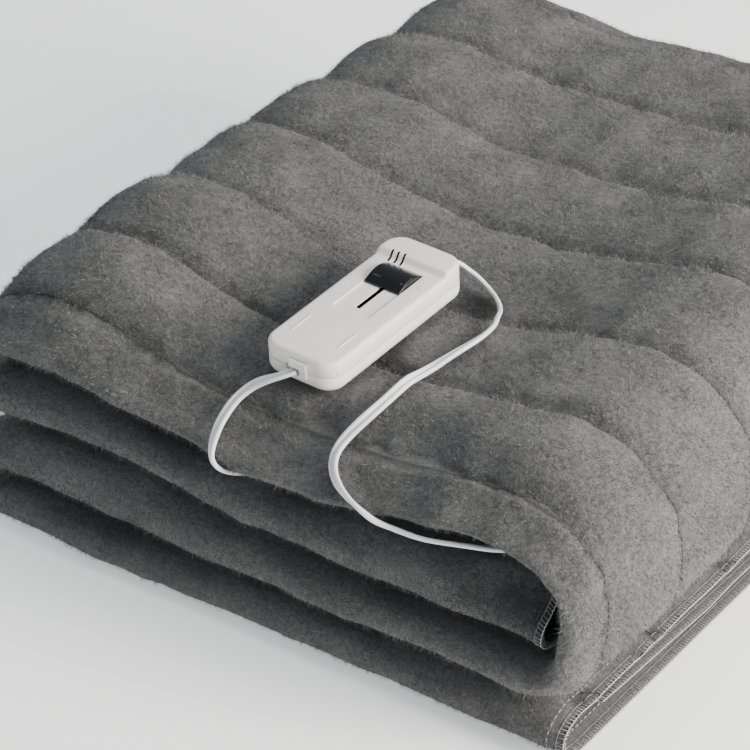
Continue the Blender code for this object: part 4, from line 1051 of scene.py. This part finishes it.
# mains lead: over the pile, down behind it, three turns on the floor, over them to the plug;
# turn k of the coil: radius - pitch * angle / 360 degrees
reliefTip = onBox([(reliefX, box["length"] + reliefOutside + box["gap"], reliefZ)])[0] - pileCorner
afterTip = onBox([(reliefX, box["length"] + reliefOutside + .0036, reliefZ)])[0] - pileCorner
coilX, coilY = lead["coilMiddle"]
turnAngle = np.linspace(0, 2 * math.pi * lead["coilTurns"], 16 * lead["coilTurns"] + 1)
spiral = lead["coilRadius"] - lead["coilPitch"] * turnAngle / (2 * math.pi)
coilPoints = np.stack([coilX - spiral * np.sin(turnAngle), coilY - spiral * np.cos(turnAngle),
                       np.full(len(spiral), lead["coilHeight"])], axis=-1)
tailPoints = [(coilX + x, coilY - lead["tailSide"], z) for x, z in lead["tail"]]
mainsLine = leadRoute([*lead["mains"], *coilPoints, *tailPoints], afterTip)
mainsLine = np.concatenate([[reliefTip], mainsLine])
ups, along = flatWay(mainsLine, lead["mainsTilts"])
mainsLead = flatLead("mainsLead", mainsLine, ups, along, lead["mainsScales"])
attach(mainsLead, "blanket")
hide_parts("mains_lead", "mains_coil", "mains_tail")
print("mains lead", round(lineLength(mainsLine), 3), "m")


def taperedSection(y, width, height, middleX, middleZ, corner=0.6, points=28):
    # superellipse section: x = w/2*cos^corner, z = h/2*sin^corner
    t = np.radians(-90 + 360 / points * (np.arange(points) + 0.5))
    c, s = np.cos(t), np.sin(t)
    x, z = np.sign(c) * np.abs(c) ** corner * width / 2, np.sign(s) * np.abs(s) ** corner * height / 2
    return np.stack([middleX + x, np.full(points, y), middleZ + z], axis=-1)


sleeve = []
for share in np.linspace(0, 1, 45):
    taper = max(share - .4, 0) / .6
    width = rootWidth + (box["reliefTip"][0] - rootWidth) * taper
    height = rootHeight + (box["reliefTip"][1] - rootHeight) * taper
    ribbed = 1 - .055 * (share > .46) * (0.5 - 0.5 * math.cos(share * 2 * math.pi * 9))  # nine grooves
    ribbed *= 1 - .12 * max(share - .95, 0) / .05  # softened tip
    sleeve.append(taperedSection(box["length"] - reliefInside + (reliefInside + reliefOutside) * share,
                                 width * ribbed, height * ribbed, reliefX, reliefZ))
sleevePiece = seated(loft("leadSleeve", sleeve, leadFinish), 60)
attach(sleevePiece, "blanket")
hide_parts("mains_relief")

# Plug
plug = {"length": .034, "width": .025, "height": .0135,
        # share of the length, of the width and of the height
        "profile": ((0, .36, .45), (.28, .5, .6), (.5, .94, .94), (.9, 1, 1), (1, .9, .9))}
rings = []
for share in np.linspace(0, 1, 61):
    width, height = (float(between(np.array([share]), plug["profile"], c)[0]) for c in (1, 2))
    grip = 1 - .045 * (0.5 - 0.5 * math.cos(share * 2 * math.pi * 12)) * (share < .46)
    grip *= 1 - .10 * max(share - .96, 0) / .04
    rings.append(taperedSection(share * plug["length"], width * plug["width"] * grip,
                                height * plug["height"] * grip, 0, plug["height"] / 2, .5))
plugPiece = loft("plugBody", rings, leadFinish)
rear = np.array([coilX + lead["tail"][-1][0] - box["gap"], coilY - lead["tailSide"], 0]) + pileCorner
plugTurn = np.array([[0, -1, 0], [1, 0, 0], [0, 0, 1.0]])
shifted(plugPiece, lambda points: points @ plugTurn.T + rear)
plugPiece.data.update()
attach(plugPiece, "blanket")
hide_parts("plug_body")
bladeFinish = Finish("nickelledBlade", 0.22, Metallic=1.0)
brushed = bladeFinish.noise(900.0, 3.0, stretch=(.08, 1, 1))
bladeFinish.feed(Base_Color=bladeFinish.mix(brushed, (.62, .58, .50, 1), (.80, .77, .70, 1)),
                 Roughness=brushed * 0.2 + 0.15, Normal=bladeFinish.bump(brushed, .00002, .5))
for node in ("plug_blade_left", "plug_blade_right"):
    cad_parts[node].data.materials.clear()
    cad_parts[node].data.materials.append(bladeFinish.material)
tuple(mainsLine[0] + pileCorner)
[tuple(p) for p in mainsLine + pileCorner]
print("plug made")

# Floor and light
studio = {"world": 0.38, "worldColour": (.84, .92, 1.0, 1),
          "floorHalf": 6, "floorDrop": .0004,
          # name, place seen from the pile's middle, size, watts, colour
          "lamps": (("windowLight", (1.75, .12, .82), 1.0, 104, (1.0, .965, .91)),
                    ("skyLight", (.1, .9, 1.9), 1.5, 25, (1.0, .985, .96)),
                    ("leftLight", (-1.7, -.7, .7), 1.2, 9, (.80, .90, 1.0)))}
floorFinish = Finish("paleFloor", 0.9, Emission_Color=(1, 1, 1, 1), Emission_Strength=0.50)
floorFinish.feed(Base_Color=floorFinish.mix(floorFinish.noise(3.0), (.92, .92, .92, 1), (.94, .94, .94, 1)))
sweep = (-studio["floorHalf"], studio["floorHalf"])
floorPoints = [(x, y, -studio["floorDrop"]) for x in sweep for y in sweep]
floorPiece = meshObject("floor", floorPoints, [(0, 2, 3, 1)], floorFinish.material)
for name, place, size, watts, colour in studio["lamps"]:
    lamp = bpy.data.objects.new(name, bpy.data.lights.new(name, "AREA"))
    lamp.data.size, lamp.data.energy, lamp.data.color = size, watts, colour
    lamp.location = place
    lamp.rotation_euler = (-Vector(place)).to_track_quat("-Z", "Y").to_euler()
    bpy.context.scene.collection.objects.link(lamp)
sky = bpy.data.worlds.new("paleSky")
bpy.context.scene.world = sky
sky.use_nodes = True
sky.node_tree.nodes["Background"].inputs[0].default_value = studio["worldColour"]
sky.node_tree.nodes["Background"].inputs[1].default_value = studio["world"]
print("light set")
